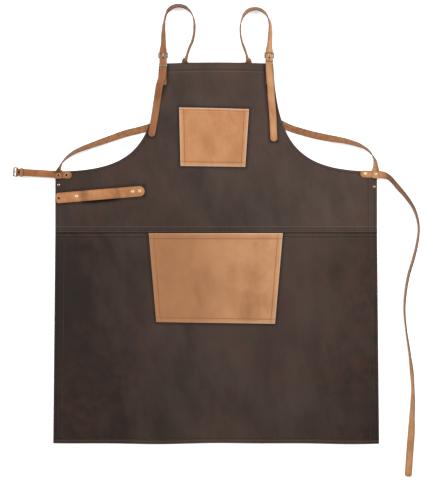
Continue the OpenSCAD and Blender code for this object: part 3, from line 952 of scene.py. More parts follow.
class Path:
    """A smooth line through points that also carries a roll about itself."""

    STEP = 1.0 * MM

    def __init__(
        self, points: Sequence[Sequence[float]], floor: float = 0.0, dark_above: float = 9.0
    ) -> None:
        """Draws the line.

        Args:
            points: x, y and z in millimetres, and the roll in degrees.
            floor: the lowest z that the line may take, in metres.
            dark_above: the y above which the strap is darker where it stands on edge, in metres.
        """
        self.dark_above = dark_above
        knots = [Vector((p[0] * MM, p[1] * MM, p[2] * MM)) for p in points]
        rolls = [math.radians(p[3]) for p in points]
        self.points: list[Vector] = []
        self.rolls: list[float] = []
        for i in range(len(knots) - 1):
            around = [max(i - 1, 0), i, i + 1, min(i + 2, len(knots) - 1)]
            count = max(2, round((knots[i + 1] - knots[i]).length / self.STEP))
            for k in range(count):
                t = k / count
                spot = self._spline([knots[n] for n in around], t)
                spot.z = max(spot.z, floor)
                self.points.append(spot)
                self.rolls.append(rolls[i] + (rolls[i + 1] - rolls[i]) * t * t * (3 - 2 * t))
        self.points.append(knots[-1])
        self.rolls.append(rolls[-1])
        self.marks = [0.0]
        for a, b in zip(self.points, self.points[1:]):
            self.marks.append(self.marks[-1] + (b - a).length)
        self.length = self.marks[-1]

    @staticmethod
    def _spline(knots: Sequence[Vector], t: float) -> Vector:
        """A centripetal curve between the middle two of four knots."""
        gaps = [max((b - a).length, 1e-6) ** 0.5 for a, b in zip(knots, knots[1:])]
        p0, p1, p2, p3 = knots
        before = (p1 - p0) / gaps[0] - (p2 - p0) / (gaps[0] + gaps[1]) + (p2 - p1) / gaps[1]
        after = (p2 - p1) / gaps[1] - (p3 - p1) / (gaps[1] + gaps[2]) + (p3 - p2) / gaps[2]
        m1 = before * gaps[1] if (p1 - p0).length > 1e-6 else p2 - p1
        m2 = after * gaps[1] if (p3 - p2).length > 1e-6 else p2 - p1
        a = 2 * t**3 - 3 * t**2 + 1
        b = t**3 - 2 * t**2 + t
        c = -2 * t**3 + 3 * t**2
        d = t**3 - t**2
        return p1 * a + m1 * b + p2 * c + m2 * d

    def at(self, s: float) -> tuple[Vector, float]:
        """The point and the roll at a distance along the line."""
        s = min(max(s, 0.0), self.length)
        i = min(max(bisect.bisect_right(self.marks, s) - 1, 0), len(self.points) - 2)
        t = (s - self.marks[i]) / (self.marks[i + 1] - self.marks[i])
        return (
            self.points[i].lerp(self.points[i + 1], t),
            self.rolls[i] + (self.rolls[i + 1] - self.rolls[i]) * t,
        )

    def nearest(self, spot: Vector) -> float:
        """The distance along the line of its point nearest to a spot."""
        gaps = [(p - spot).length_squared for p in self.points]
        return self.marks[gaps.index(min(gaps))]

    def station(self, s: float) -> Station:
        """The strip's frame at a distance along the line."""
        point, roll = self.at(s)
        along = (self.at(s + 2 * MM)[0] - self.at(s - 2 * MM)[0]).normalized()
        left = Vector((-along.y, along.x, 0.0)).normalized()
        up = along.cross(left)
        wide = left * math.cos(roll) + up * math.sin(roll)
        face = up * math.cos(roll) - left * math.sin(roll)
        slant = max(0.0, 1 - face.z**2)
        # Above the set height the strap is darker where it stands on edge.
        upper_dark = eased((point.y - self.dark_above) / UPPER_DARK_FADE) * math.sqrt(slant)
        # Painted shade where the strip stands on edge across the page, plus the darker upper
        # stretch.
        darker = EDGE_ON_SHADE_WEIGHT * abs(face.y) * slant + UPPER_DARK_WEIGHT * upper_dark
        return Station(point, wide, face, s, min(1.0, darker))


@dataclass(frozen=True)
class End:
    """The shape of a strip's end and how far back it reaches, in metres."""

    tip: Tip = Tip.SQUARE
    reach: float = 1.2 * MM

    def share(self, back: float, half: float) -> float:
        """The share of the full width at a distance back from the end.

        Args:
            back: the distance from the end.
            half: half of the strip's width.

        Returns:
            The share, from 0.05 to 1.
        """
        if back >= self.reach:
            return 1.0
        t = back / self.reach
        dip = 1 - math.sqrt(max(0.0, 1 - (1 - t) ** 2))
        return max(0.05, 1 - self.reach / half * dip)


@dataclass
class Strip:
    """A strap of leather with bevelled edges and a crease along each of them."""

    name: str
    stations: Callable[[float], Station]
    length: float
    width: float
    thick: float
    head: End = End()
    tail: End = End()
    step: float = 2.5 * MM
    slot: tuple[float, float, float] | None = None
    bevel: float = 0.5 * MM
    crease: float = 0.14 * MM

    def _columns(self) -> list[float]:
        """Distances from the middle line, from one edge to the other."""
        half = self.width / 2
        out = [half, half - self.bevel, half - 1.3 * MM, half - 1.8 * MM, half - 2.4 * MM]
        out.append(half * 0.45)
        if self.slot:
            out.append(self.slot[2])
        out = sorted(set(out))
        return [-x for x in reversed(out)] + [0.0] + out

    def _rows(self) -> list[float]:
        """Distances along the strip, closer together at its ends and its slot."""
        rows = {0.0, self.length}
        count = max(4, round(self.length / self.step))
        rows.update(self.length * i / count for i in range(count + 1))
        for k in range(1, 9):
            turn = 1 - math.cos(k / 8 * math.pi / 2)
            rows.add(self.head.reach * turn)
            rows.add(self.length - self.tail.reach * turn)
        if self.slot:
            rows.update(self.slot[:2])
        ordered = sorted(rows)
        slim = [ordered[0]]
        for s in ordered[1:]:
            if s - slim[-1] > 0.05 * MM:
                slim.append(s)
        slim[-1] = self.length
        return slim

    def _rise(self, x: float) -> tuple[float, float]:
        """Heights of the grain and flesh faces above the middle, at x across."""
        half = self.width / 2
        back = half - abs(x)
        if back < 0.01 * MM:
            return self.thick / 2 - self.bevel, self.bevel - self.thick / 2
        dome = 0.1 * MM * (1 - (x / half) ** 2)
        dent = self.crease * max(0.0, 1 - abs(back - 1.8 * MM) / (0.55 * MM))
        return self.thick / 2 + dome - dent, -self.thick / 2

    def build(self, finishes: Sequence[Material]) -> Object:
        """Makes the piece.

        Args:
            finishes: grain, flesh and edge materials.

        Returns:
            The object.
        """
        half = self.width / 2
        columns, rows = self._columns(), self._rows()
        top: Grid = []
        low: Grid = []
        rim: list[list[float]] = []
        turn: list[list[float]] = []
        for s in rows:
            here = self.stations(s)
            ends = (self.head.share(s, half), self.tail.share(self.length - s, half))
            share = min(ends)
            tops, lows, rims = [], [], []
            blunt = self.bevel if s in (rows[0], rows[-1]) else 0.0
            for x in columns:
                over, under = self._rise(x)
                across = here.point + here.wide * (x * share)
                tops.append(across + here.face * (over - blunt * (over > 0)))
                lows.append(across + here.face * (under + blunt * (under < 0)))
                rims.append(min((half - abs(x)) * share, s + 0.1 * MM, self.length - s))
            top.append(tops[::-1])
            low.append(lows[::-1])
            rim.append(rims[::-1])
            # Per row: painted shade for standing on edge or climbing, and the darker upper
            # stretch.
            turn.append([here.turn] * len(rims))

        def keep(row: int, column: int) -> bool:
            """False inside the slot for a buckle's tongue."""
            if not self.slot:
                return True
            start, end, wide = self.slot
            middle_s = (rows[row] + rows[row + 1]) / 2
            middle_x = (columns[column] + columns[column + 1]) / 2
            return not (start < middle_s < end and abs(middle_x) < wide)

        marks = {"rim": rim, "turn": turn}
        return Slab(self.name, top, low, marks, keep).build(finishes)


def rounded_loop(
    low: tuple[float, float], high: tuple[float, float], radius: float, arc: int = 8
) -> list[tuple[float, float]]:
    """A rectangle with round corners, anticlockwise.

    Args:
        low: its lowest corner.
        high: its highest corner.
        radius: the corners' radius.
        arc: steps in each corner.

    Returns:
        Points of the loop.
    """
    centres = (
        (high[0] - radius, high[1] - radius), (low[0] + radius, high[1] - radius),
        (low[0] + radius, low[1] + radius), (high[0] - radius, low[1] + radius),
    )
    out = []
    for quarter, (x, y) in enumerate(centres):
        for k in range(arc + 1):
            a = math.pi / 2 * (quarter + k / arc)
            out.append((x + radius * math.cos(a), y + radius * math.sin(a)))
    return out


@dataclass
class Bar:
    """A bar or band bent along a line in one plane."""

    name: str
    line: Sequence[tuple[float, float]]
    plane: Matrix
    thick: Sequence[float]
    wide: Sequence[float]
    closed: bool = False
    power: float = 2.0
    sides: int = 16

    def build(self, finish: Material) -> Object:
        """Makes the piece.

        Args:
            finish: its material.

        Returns:
            The object.
        """
        count = len(self.line)
        points: list[Vector] = []
        for i, (x, y) in enumerate(self.line):
            ahead = self.line[(i + 1) % count] if self.closed or i < count - 1 else (x, y)
            behind = self.line[i - 1] if self.closed or i else (x, y)
            along = Vector((ahead[0] - behind[0], ahead[1] - behind[1])).normalized()
            a, b = self.thick[i % len(self.thick)] / 2, self.wide[i % len(self.wide)] / 2
            for k in range(self.sides):
                turn = 2 * math.pi * k / self.sides
                c, s = math.cos(turn), math.sin(turn)
                u = math.copysign(abs(c) ** (2 / self.power), c) * a
                v = math.copysign(abs(s) ** (2 / self.power), s) * b
                spot = Vector((x - along.y * u, y + along.x * u, v))
                points.append(self.plane @ spot)
        faces: list[list[int]] = []
        for i in range(count if self.closed else count - 1):
            here, there = i * self.sides, (i + 1) % count * self.sides
            for k in range(self.sides):
                m = (k + 1) % self.sides
                faces.append([here + k, here + m, there + m, there + k])
        if not self.closed:
            faces.append(list(range(self.sides)))
            faces.append([(count - 1) * self.sides + k for k in range(self.sides)])
        return make_object(self.name, points, faces, [finish], crease=math.radians(50))


def turned(
    name: str, spots: Sequence[Vector], profile: Callable[[int], Sequence[tuple[float, float]]],
    finishes: Sequence[Material], dark: Callable[[int], int], sides: int = 40,
) -> Object:
    """Turned pieces on upright axes, as one object.

    Args:
        name: the object's name.
        spots: the foot of each axis.
        profile: radius and height pairs of each piece, from its middle to its foot.
        finishes: the outer material, and the painted dark reflection of the dark middles.
        dark: how many of a piece's inner rings are dark.
        sides: steps round the axis.

    Returns:
        The object.
    """
    points: list[Vector] = []
    faces: list[list[int]] = []
    which: list[int] = []
    for n, spot in enumerate(spots):
        start = len(points)
        rings = profile(n)
        points.append(spot + Vector((0, 0, rings[0][1])))
        for radius, height in rings[1:]:
            for k in range(sides):
                a = 2 * math.pi * k / sides
                points.append(
                    spot + Vector((radius * math.cos(a), radius * math.sin(a), height))
                )
        for k in range(sides):
            m = (k + 1) % sides
            faces.append([start, start + 1 + k, start + 1 + m])
            which.append(int(dark(n) > 0))
            for ring in range(len(rings) - 2):
                a = start + 1 + ring * sides
                faces.append([a + k, a + sides + k, a + sides + m, a + m])
                which.append(int(ring + 1 < dark(n)))
        last = start + 1 + (len(rings) - 2) * sides
        faces.append([last + k for k in range(sides)])
        which.append(0)
    return make_object(name, points, faces, finishes, which, crease=math.radians(60))


@dataclass
class Stitching:
    """Rows of separate stitches, each sunk into the leather at both ends."""

    name: str
    rows: Sequence[Sequence[Vector]]
    pitch: float = 4.2 * MM
    length: float = 3.3 * MM
    radius: float = 0.42 * MM

    RINGS = ((-0.5, 0.35, -0.55), (-0.36, 0.85, 0.05), (0.0, 1.0, 0.35),
             (0.36, 0.85, 0.05), (0.5, 0.35, -0.55))
    SIDES = 8

    def build(self, finish: Material) -> Object:
        """Makes the stitches.

        Args:
            finish: the thread's material.

        Returns:
            The object.
        """
        points: list[Vector] = []
        faces: list[list[int]] = []
        for row in self.rows:
            marks = [0.0]
            for a, b in zip(row, row[1:]):
                marks.append(marks[-1] + (b - a).length)
            count = max(1, int(marks[-1] // self.pitch))
            for n in range(count):
                s = marks[-1] * (n + 0.5) / count
                i = min(max(bisect.bisect_right(marks, s) - 1, 0), len(row) - 2)
                t = (s - marks[i]) / max(marks[i + 1] - marks[i], 1e-9)
                self._stitch(row[i].lerp(row[i + 1], t), (row[i + 1] - row[i]).normalized(),
                             points, faces)
        return make_object(self.name, points, faces, [finish], crease=math.radians(80))

    def _stitch(
        self, middle: Vector, along: Vector, points: list[Vector], faces: list[list[int]]
    ) -> None:
        """Adds one stitch.

        Args:
            middle: where it crosses the row's line.
            along: the row's direction.
            points: the vertices so far.
            faces: the faces so far.
        """
        across = Vector((-along.y, along.x, 0.0)).normalized()
        up = along.cross(across)
        slant = along + across * 0.12
        start = len(points)
        for place, share, rise in self.RINGS:
            centre = middle + slant * (place * self.length) + up * (rise * self.radius)
            for k in range(self.SIDES):
                a = 2 * math.pi * k / self.SIDES
                points.append(
                    centre + (across * math.cos(a) + up * math.sin(a)) * self.radius * share
                )
        for ring in range(len(self.RINGS) - 1):
            for k in range(self.SIDES):
                m = (k + 1) % self.SIDES
                a = start + ring * self.SIDES
                faces.append([a + k, a + m, a + self.SIDES + m, a + self.SIDES + k])
        faces.append([start + k for k in range(self.SIDES)])
        last = start + (len(self.RINGS) - 1) * self.SIDES
        faces.append([last + k for k in range(self.SIDES)])


def enter(piece: Object, body: str, slot: Slot, *nodes: str) -> Object:
    """Puts a piece on its body in place of CAD nodes, and reports it.

    Args:
        piece: the piece.
        body: the body it rides on.
        slot: the record's material slot; not used.
        nodes: the CAD nodes that it stands for.

    Returns:
        The piece.
    """
    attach(piece, body)
    if nodes:
        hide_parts(*nodes)
    log.info("%s rides on %s", piece.name, body)
    return piece


def steps(low: float, high: float, count: int) -> list[float]:
    """Evenly spaced numbers from low to high, both included."""
    return [low + (high - low) * i / count for i in range(count + 1)]


def eased(t: float) -> float:
    """A smooth step from 0 to 1."""
    t = min(max(t, 0.0), 1.0)
    return t * t * (3 - 2 * t)


def relief(x: float, y: float) -> float:
    """How far the hide's face lies below its full thickness, in metres."""
    broad = noise.noise(Vector((x * 9, y * 9, 3.1)))
    fine = noise.noise(Vector((x * 24, y * 20, 7.7)))
    return 0.34 * MM * (0.5 + 0.5 * max(-1.0, min(1.0, broad * 1.3 + fine * 0.5)))


CHEST_CORNERS = ((-78, 262), (69, 258.5), (61, 137), (-75, 139))
WAIST_CORNERS = ((-142, -2), (140, -2), (123.5, -192.5), (-126, -189))


TOWEL_CORNERS = ((-337.5, 82.2), (-152, 98), (-150, 76), (-335.6, 60.2))
LEFT_TAIL = ((-104, 352), (-104.5, 312), (-126.5, 262), (-127, 234), (-131, 201), (-143, 201),
             (-137, 262), (-130, 308), (-119, 352))
RIGHT_TAIL = ((104, 358), (119, 352), (122.5, 300), (127, 234), (128.5, 191), (114, 191),
              (112, 234), (104, 308))


def beyond(corners: Sequence[tuple[float, float]], x: float, y: float) -> float:
    """How far a point lies outside an outline, or 0 inside it, in metres.

    Args:
        corners: the outline's corners in millimetres.
        x: the point's place across.
        y: the point's place up.

    Returns:
        The distance.
    """
    ring = [Vector((a * MM, b * MM)) for a, b in corners]
    spot = Vector((x, y))
    gaps = []
    inside = False
    for a, b in zip(ring, ring[1:] + ring[:1]):
        side = b - a
        t = min(max((spot - a).dot(side) / side.length_squared, 0.0), 1.0)
        gaps.append((a + side * t - spot).length)
        if (a.y > y) != (b.y > y) and x < a.x + side.x * (y - a.y) / side.y:
            inside = not inside
    return 0.0 if inside else min(gaps)


def near_shapes(x: float, y: float) -> Iterable[Sequence[tuple[float, float]]]:
    """The outlines round which painted shadow darkens the bib's leather at a point."""
    yield CHEST_CORNERS
    if y < 0.14 and x < -0.1:
        yield TOWEL_CORNERS
    if y > 0.16:
        yield LEFT_TAIL if x < 0 else RIGHT_TAIL


# ------------------------------------------------------------------ the apron's parts


BIB_LOW, BIB_TOP, SKIRT_TOP = 2.2 * MM, 4.4 * MM, 2.2 * MM
STRAP_W, STRAP_T = 15 * MM, 2 * MM
HEEL_Z = 4.75 * MM
WIRE_R = 1.2 * MM
RIM_STEPS = (0.0, 0.5 * MM, 2 * MM, 5 * MM, 8 * MM, 13 * MM, 20 * MM)
RIM_ROUND = 0.6 * MM


@dataclass
class Bib:
    """The upper panel, with its two armholes."""

    width: float = 676 * MM
    length: float = 354 * MM
    top_width: float = 240 * MM
    corner: float = 128 * MM
    crown: float = 3 * MM
    columns: int = 84

    def armhole(self, t: float) -> Vector:
        """The right armhole's edge, from the top at 0 to the side at 1."""
        points = (
            Vector((self.top_width / 2, self.length)), Vector((128 * MM, 180 * MM)),
            Vector((174 * MM, self.corner)), Vector((self.width / 2, self.corner)),
        )
        weights = ((1 - t) ** 3, 3 * (1 - t) ** 2 * t, 3 * (1 - t) * t * t, t**3)
        return sum((p * w for p, w in zip(points, weights)), Vector((0.0, 0.0)))

    def top_edge(self, x: float) -> float:
        """The height of the crowned top edge at x."""
        share = min(1.0, abs(x) / (self.top_width / 2))
        return self.length + self.crown * (1 - share * share)

    def arm_line(self, inset: float, low: float, high: float, count: int) -> list[Vector]:
        """A line inside the right armhole's edge, between two of its parameters."""
        out = []
        for t in steps(low, high, count):
            here = self.armhole(t)
            along = (self.armhole(min(1.0, t + 0.01)) - self.armhole(max(0.0, t - 0.01)))
            along.normalize()
            out.append(here + Vector((along.y, -along.x)) * inset)
        return out

    def panel(self, look: Finishes) -> Object:
        """Builds the panel.

        Args:
            look: the finishes.

        Returns:
            The piece.
        """
        edge = [Vector((self.width / 2, y)) for y in (0.0, 0.5 * MM, 2.5 * MM)]
        edge += [Vector((self.width / 2, y)) for y in steps(7 * MM, 124 * MM, 19)]
        curve = (1.0, 0.96, 0.93, *[0.9 - 0.02 * k for k in range(45)], 0.006, 0.001, 0.0)
        edge += [self.armhole(t) for t in curve]
        hole = [self.armhole(t) for t in steps(0.0, 1.0, 160)]
        top: Grid = []
        low: Grid = []
        names = ("rim", "side", "arm", "top", "foot", "patch")
        marks: dict[str, list[list[float]]] = {name: [] for name in names}
        for i, out in enumerate(edge):
            near = [out.x - d for d in RIM_STEPS]
            xs = [-x for x in near] + steps(-near[-1], near[-1], self.columns)[1:-1]
            xs += reversed(near)
            tops, lows = [], []
            rows: dict[str, list[float]] = {name: [] for name in names}
            for j, x in enumerate(xs):
                lift = (self.top_edge(x) - self.length) * eased((out.y - 0.29) / 0.064)
                y = out.y + lift
                rim = i in (0, len(edge) - 1) or j in (0, len(xs) - 1)
                drop = RIM_ROUND if rim else 0.0
                tops.append(Vector((x, y, BIB_TOP - relief(x, y) - drop)))
                lows.append(Vector((x, y, BIB_LOW + drop)))
                spot = Vector((abs(x), out.y))
                to_arm = min((p - spot).length for p in hole)
                rows["side"].append(self.width / 2 - abs(x) + (1.0 if y > 0.124 else 0.0))
                rows["arm"].append(to_arm)
                rows["top"].append(self.top_edge(x) - y)
                rows["foot"].append(y)
                # patch: distance outside the shapes that get painted shadow round them.
                rows["patch"].append(min(beyond(shape, x, y) for shape in near_shapes(x, y)))
                gaps = (self.width / 2 - abs(x), to_arm, self.top_edge(x) - y, y)
                rows["rim"].append(min(gaps))
            top.append(tops)
            low.append(lows)
            for name in names:
                marks[name].append(rows[name])
        piece = Slab("bib_leather", top, low, marks).build(
            [look.bib, look.brown_flesh, look.brown_edge]
        )
        enter(piece, APRON, Slot.BROWN, "bib_panel")
        return piece

    @staticmethod
    def on_face(x: float, y: float) -> Vector:
        """A point on the panel's face."""
        return Vector((x, y, BIB_TOP - relief(x, y)))

    def stitches(self, look: Finishes) -> None:
        """Sews the bib's edges and its seam with the skirt.

        Args:
            look: the finishes.
        """
        rows = []
        across = steps(-99 * MM, 99 * MM, 60)
        rows.append([self.on_face(x, self.top_edge(x) - TOP_HEM) for x in across])
        for side in Side:
            line = self.arm_line(ARM_HEM, 0.09, 0.92, 90)
            rows.append([self.on_face(side.value * p.x, p.y) for p in line])
            x = side.value * (self.width / 2 - SIDE_HEM)
            rows.append([self.on_face(x, y) for y in steps(13 * MM, 58 * MM, 12)])
        piece = Stitching("bib_stitches", rows).build(look.brown_thread)
        enter(piece, APRON, Slot.BROWN_THREAD, "bib_edge_thread")
        rows = []
        for y in (2.5 * MM, 7 * MM):
            rows.append([self.on_face(x, y) for x in steps(-333 * MM, 333 * MM, 120)])
        piece = Stitching("waist_seam_stitches", rows).build(look.brown_thread)
        enter(piece, APRON, Slot.BROWN_THREAD, "waist_seam_thread")


@dataclass
class Skirt:
    """The lower panel, a little wider at its hem."""

    top_width: float = 676 * MM
    foot_width: float = 685 * MM
    lap: float = 12 * MM
    length: float = 444 * MM

    def side(self, y: float) -> float:
        """Half of the panel's width at y."""
        share = (self.lap - y) / (self.lap + self.length)
        return (self.top_width + (self.foot_width - self.top_width) * share) / 2

    def wave(self, x: float, y: float) -> float:
        """How far the hem's edge strays up and down at x."""
        near = eased((-y - 0.36) / 0.084)
        return near * 0.9 * MM * (math.sin(x * 15 + 0.6) + 0.6 * math.sin(x * 31 + 2.0))

    def on_face(self, x: float, y: float) -> Vector:
        """A point on the panel's face, moved with its hem."""
        return Vector((x, y + self.wave(x, y), SKIRT_TOP - relief(x, y)))

    def panel(self, look: Finishes) -> Object:
        """Builds the panel.

        Args:
            look: the finishes.

        Returns:
            The piece.
        """
        foot = -self.length
        levels = [foot, *(foot + d for d in RIM_STEPS[1:])]
        levels += steps(foot + 26 * MM, 4 * MM, 62) + [8 * MM, 11.5 * MM, self.lap]
        top: Grid = []
        low: Grid = []
        names = ("rim", "side", "foot", "top", "patch")
        marks: dict[str, list[list[float]]] = {name: [] for name in names}
        for i, y in enumerate(levels):
            half = self.side(y)
            near = [half - d for d in RIM_STEPS]
            xs = [-x for x in near] + steps(-near[-1], near[-1], 90)[1:-1] + near[::-1]
            tops, lows = [], []
            for j, x in enumerate(xs):
                rim = i in (0, len(levels) - 1) or j in (0, len(xs) - 1)
                drop = RIM_ROUND if rim else 0.0
                face = self.on_face(x, y)
                tops.append(face - Vector((0, 0, drop)))
                lows.append(Vector((x, face.y, drop)))
            top.append(tops)
            low.append(lows)
            sides = [half - abs(x) for x in xs]
            marks["side"].append(sides)
            marks["foot"].append([y - foot] * len(xs))
            marks["top"].append([self.lap - y] * len(xs))
            # patch: distance outside the waist pocket, which gets painted shadow round it.
            marks["patch"].append([beyond(WAIST_CORNERS, x, y) for x in xs])
            marks["rim"].append([min(s, y - foot) for s in sides])
        piece = Slab("skirt_leather", top, low, marks).build(
            [look.skirt, look.brown_flesh, look.brown_edge]
        )
        enter(piece, APRON, Slot.BROWN, "skirt_panel")
        return piece

    def stitches(self, look: Finishes) -> None:
        """Sews the side and foot hems.

        Args:
            look: the finishes.
        """
        foot = FOOT_HEM - self.length
        rows = []
        for side in Side:
            levels = steps(-13 * MM, foot, 80)
            rows.append(
                [self.on_face(side.value * (self.side(y) - SIDE_HEM), y) for y in levels]
            )
        reach = self.side(foot) - SIDE_HEM
        rows.append([self.on_face(x, foot) for x in steps(-reach, reach, 120)])
        piece = Stitching("hem_stitches", rows).build(look.brown_thread)
        enter(piece, APRON, Slot.BROWN_THREAD, "skirt_hem_thread")


@dataclass
class Patch:
    """A pocket: a tan patch sewn down at its sides and foot, open at its top."""

    name: str
    corners: tuple[tuple[float, float], ...]
    base: float
    gap: float
    top_hem: float
    lip: float
    finish: Material
    seed: float
    thick: float = 1.8 * MM

    def __post_init__(self) -> None:
        """Measures the patch."""
        self.points = [Vector((x * MM, y * MM)) for x, y in self.corners]
        top_left, top_right, low_right, low_left = self.points
        self.wide = (low_right - low_left).length
        self.tall = (top_left - low_left).length

    def flat(self, u: float, v: float) -> Vector:
        """The place of u across and v up the patch, both 0 to 1."""
        top_left, top_right, low_right, low_left = self.points
        return low_left.lerp(low_right, u).lerp(top_left.lerp(top_right, u), v)

    def rise(self, u: float, v: float) -> float:
        """How far the patch stands off the panel."""
        margin_u, margin_v = 12 * MM / self.wide, 12 * MM / self.tall
        side = eased((min(u, 1 - u) - margin_u) / 0.24)
        lift = self.gap * side * eased((v - margin_v) / 0.7) ** 1.2
        waver = noise.noise(Vector((u * 3.2, v * 2.6, self.seed)))
        return lift + 0.5 * MM * side * eased((v - margin_v) / 0.2) * (0.5 + 0.5 * waver)

    def face(self, u: float, v: float) -> Vector:
        """A point on the patch's grain face."""
        spot = self.flat(u, v)
        from_top = (1 - v) * self.tall
        ridge = self.lip * eased((self.top_hem + 1.5 * MM - from_top) / (2 * MM))
        grooves = [min(u, 1 - u) * self.wide, v * self.tall]
        dent = sum(max(0.0, 1 - abs(g - POCKET_HEM) / (1.2 * MM)) for g in grooves)
        dent += max(0.0, 1 - abs(from_top - self.top_hem) / (1.2 * MM))
        height = self.base + self.rise(u, v) + self.thick + ridge - 0.22 * MM * min(1, dent)
        return Vector((spot.x, spot.y, height))

    def panel(self, look: Finishes) -> Object:
        """Builds the patch.

        Args:
            look: the finishes.

        Returns:
            The piece.
        """
        cuts = (0.0, 0.4, 2, 5, 7.8, 8.4, 9, 9.6, 10.2, 14)
        head = (0.0, 0.4, 2.5, self.top_hem / MM - 1, self.top_hem / MM,
                self.top_hem / MM + 1, self.top_hem / MM + 4)
        us = [c * MM / self.wide for c in cuts]
        us = us + steps(us[-1], 1 - us[-1], 46)[1:-1] + [1 - u for u in reversed(us)]
        vs = [c * MM / self.tall for c in cuts]
        ends = [1 - c * MM / self.tall for c in head]
        vs = vs + steps(vs[-1], ends[-1], 36)[1:-1] + ends[::-1]
        top: Grid = []
        low: Grid = []
        marks: dict[str, list[list[float]]] = {n: [] for n in ("rim", "side", "foot", "top")}
        for i, v in enumerate(vs):
            tops, lows = [], []
            for j, u in enumerate(us):
                rim = i in (0, len(vs) - 1) or j in (0, len(us) - 1)
                drop = 0.5 * MM if rim else 0.0
                tops.append(self.face(u, v) - Vector((0, 0, drop)))
                spot = self.flat(u, v)
                lows.append(Vector((spot.x, spot.y, self.base + self.rise(u, v) + drop)))
            top.append(tops)
            low.append(lows)
            sides = [min(u, 1 - u) * self.wide for u in us]
            marks["side"].append(sides)
            marks["foot"].append([v * self.tall] * len(us))
            marks["top"].append([(1 - v) * self.tall] * len(us))
            marks["rim"].append([min(s, v * self.tall, (1 - v) * self.tall) for s in sides])
        piece = Slab(f"{self.name}_leather", top, low, marks).build(
            [self.finish, look.tan_flesh, look.tan_edge]
        )
        enter(piece, APRON, Slot.TAN, self.name)
        return piece

    def stitches(self, look: Finishes) -> None:
        """Sews the patch down and stitches its top hem.

        Args:
            look: the finishes.
        """
        u, v = POCKET_HEM / self.wide, POCKET_HEM / self.tall
        hem = 1 - self.top_hem / self.tall
        lift = Vector((0, 0, 0.1 * MM))
        rows = [
            [self.face(a, b) + lift for b in steps(v, hem - 2 * MM / self.tall, 60)]
            for a in (u, 1 - u)
        ]
        rows.append([self.face(a, v) + lift for a in steps(u, 1 - u, 80)])
        rows.append([self.face(a, hem) + lift for a in steps(u, 1 - u, 80)])
        piece = Stitching(
            f"{self.name}_stitches", rows, 3.4 * MM, 2.6 * MM, 0.36 * MM
        ).build(look.tan_thread)
        enter(piece, APRON, Slot.TAN_THREAD, f"{self.name}_thread")


TONGUE_SLOT = 12 * MM
TONGUE_SLOT_HALF = 1.6 * MM


@dataclass
class LooseStrap:
    """A long strap that lies free: a shoulder strap or the waist tie."""

    name: str
    node: str
    route: Sequence[Sequence[float]]
    far_end: str
    tail: End
    head: End = End(Tip.ROUND, 3 * MM)
    slot_at: tuple[float, float] | None = None
    dark_above: float = 0.44

    def build(self, look: Finishes) -> Object:
        """Builds the strap.

        Args:
            look: the finishes.

        Returns:
            The piece.
        """
        path = Path(self.route, 1.02 * MM, self.dark_above)
        slot = None
        if self.slot_at:
            middle = path.nearest(Vector((self.slot_at[0], self.slot_at[1], 9.15 * MM)))
            slot = (middle - TONGUE_SLOT / 2, middle + TONGUE_SLOT / 2, TONGUE_SLOT_HALF)
        strip = Strip(
            self.name, path.station, path.length, STRAP_W, STRAP_T, self.head, self.tail,
            slot=slot,
        )
        grain = look.left_strap if self.node.endswith("left") else look.strap
        piece = strip.build([grain, look.tan_flesh, look.tan_edge])
        enter(piece, APRON, Slot.STRAP, self.node)
        tuple(path.points[0])
        [tuple(path.at(s)[0]) for s in steps(0.0, path.length, 160)]
        log.info("%s is %.0f mm long", self.name, path.length / MM)
        return piece


@dataclass(frozen=True)
class Heel:
    """The place of a buckle's heel bar: u leads away from the leather it holds."""

    x: float
    y: float
    turn: float
    tilt: float

    def frame(self) -> Matrix:
        """From u, v and z at the heel to the apron's frame."""
        return Matrix.Translation((self.x, self.y, 0.0)) @ Matrix.Rotation(self.turn, 4, "Z")

    def plane(self) -> Matrix:
        """From the buckle's own plane, with x along it and y across, to the apron's frame."""
        return (
            self.frame()
            @ Matrix.Translation((0, 0, HEEL_Z))
            @ Matrix.Rotation(-self.tilt, 4, "Y")
        )


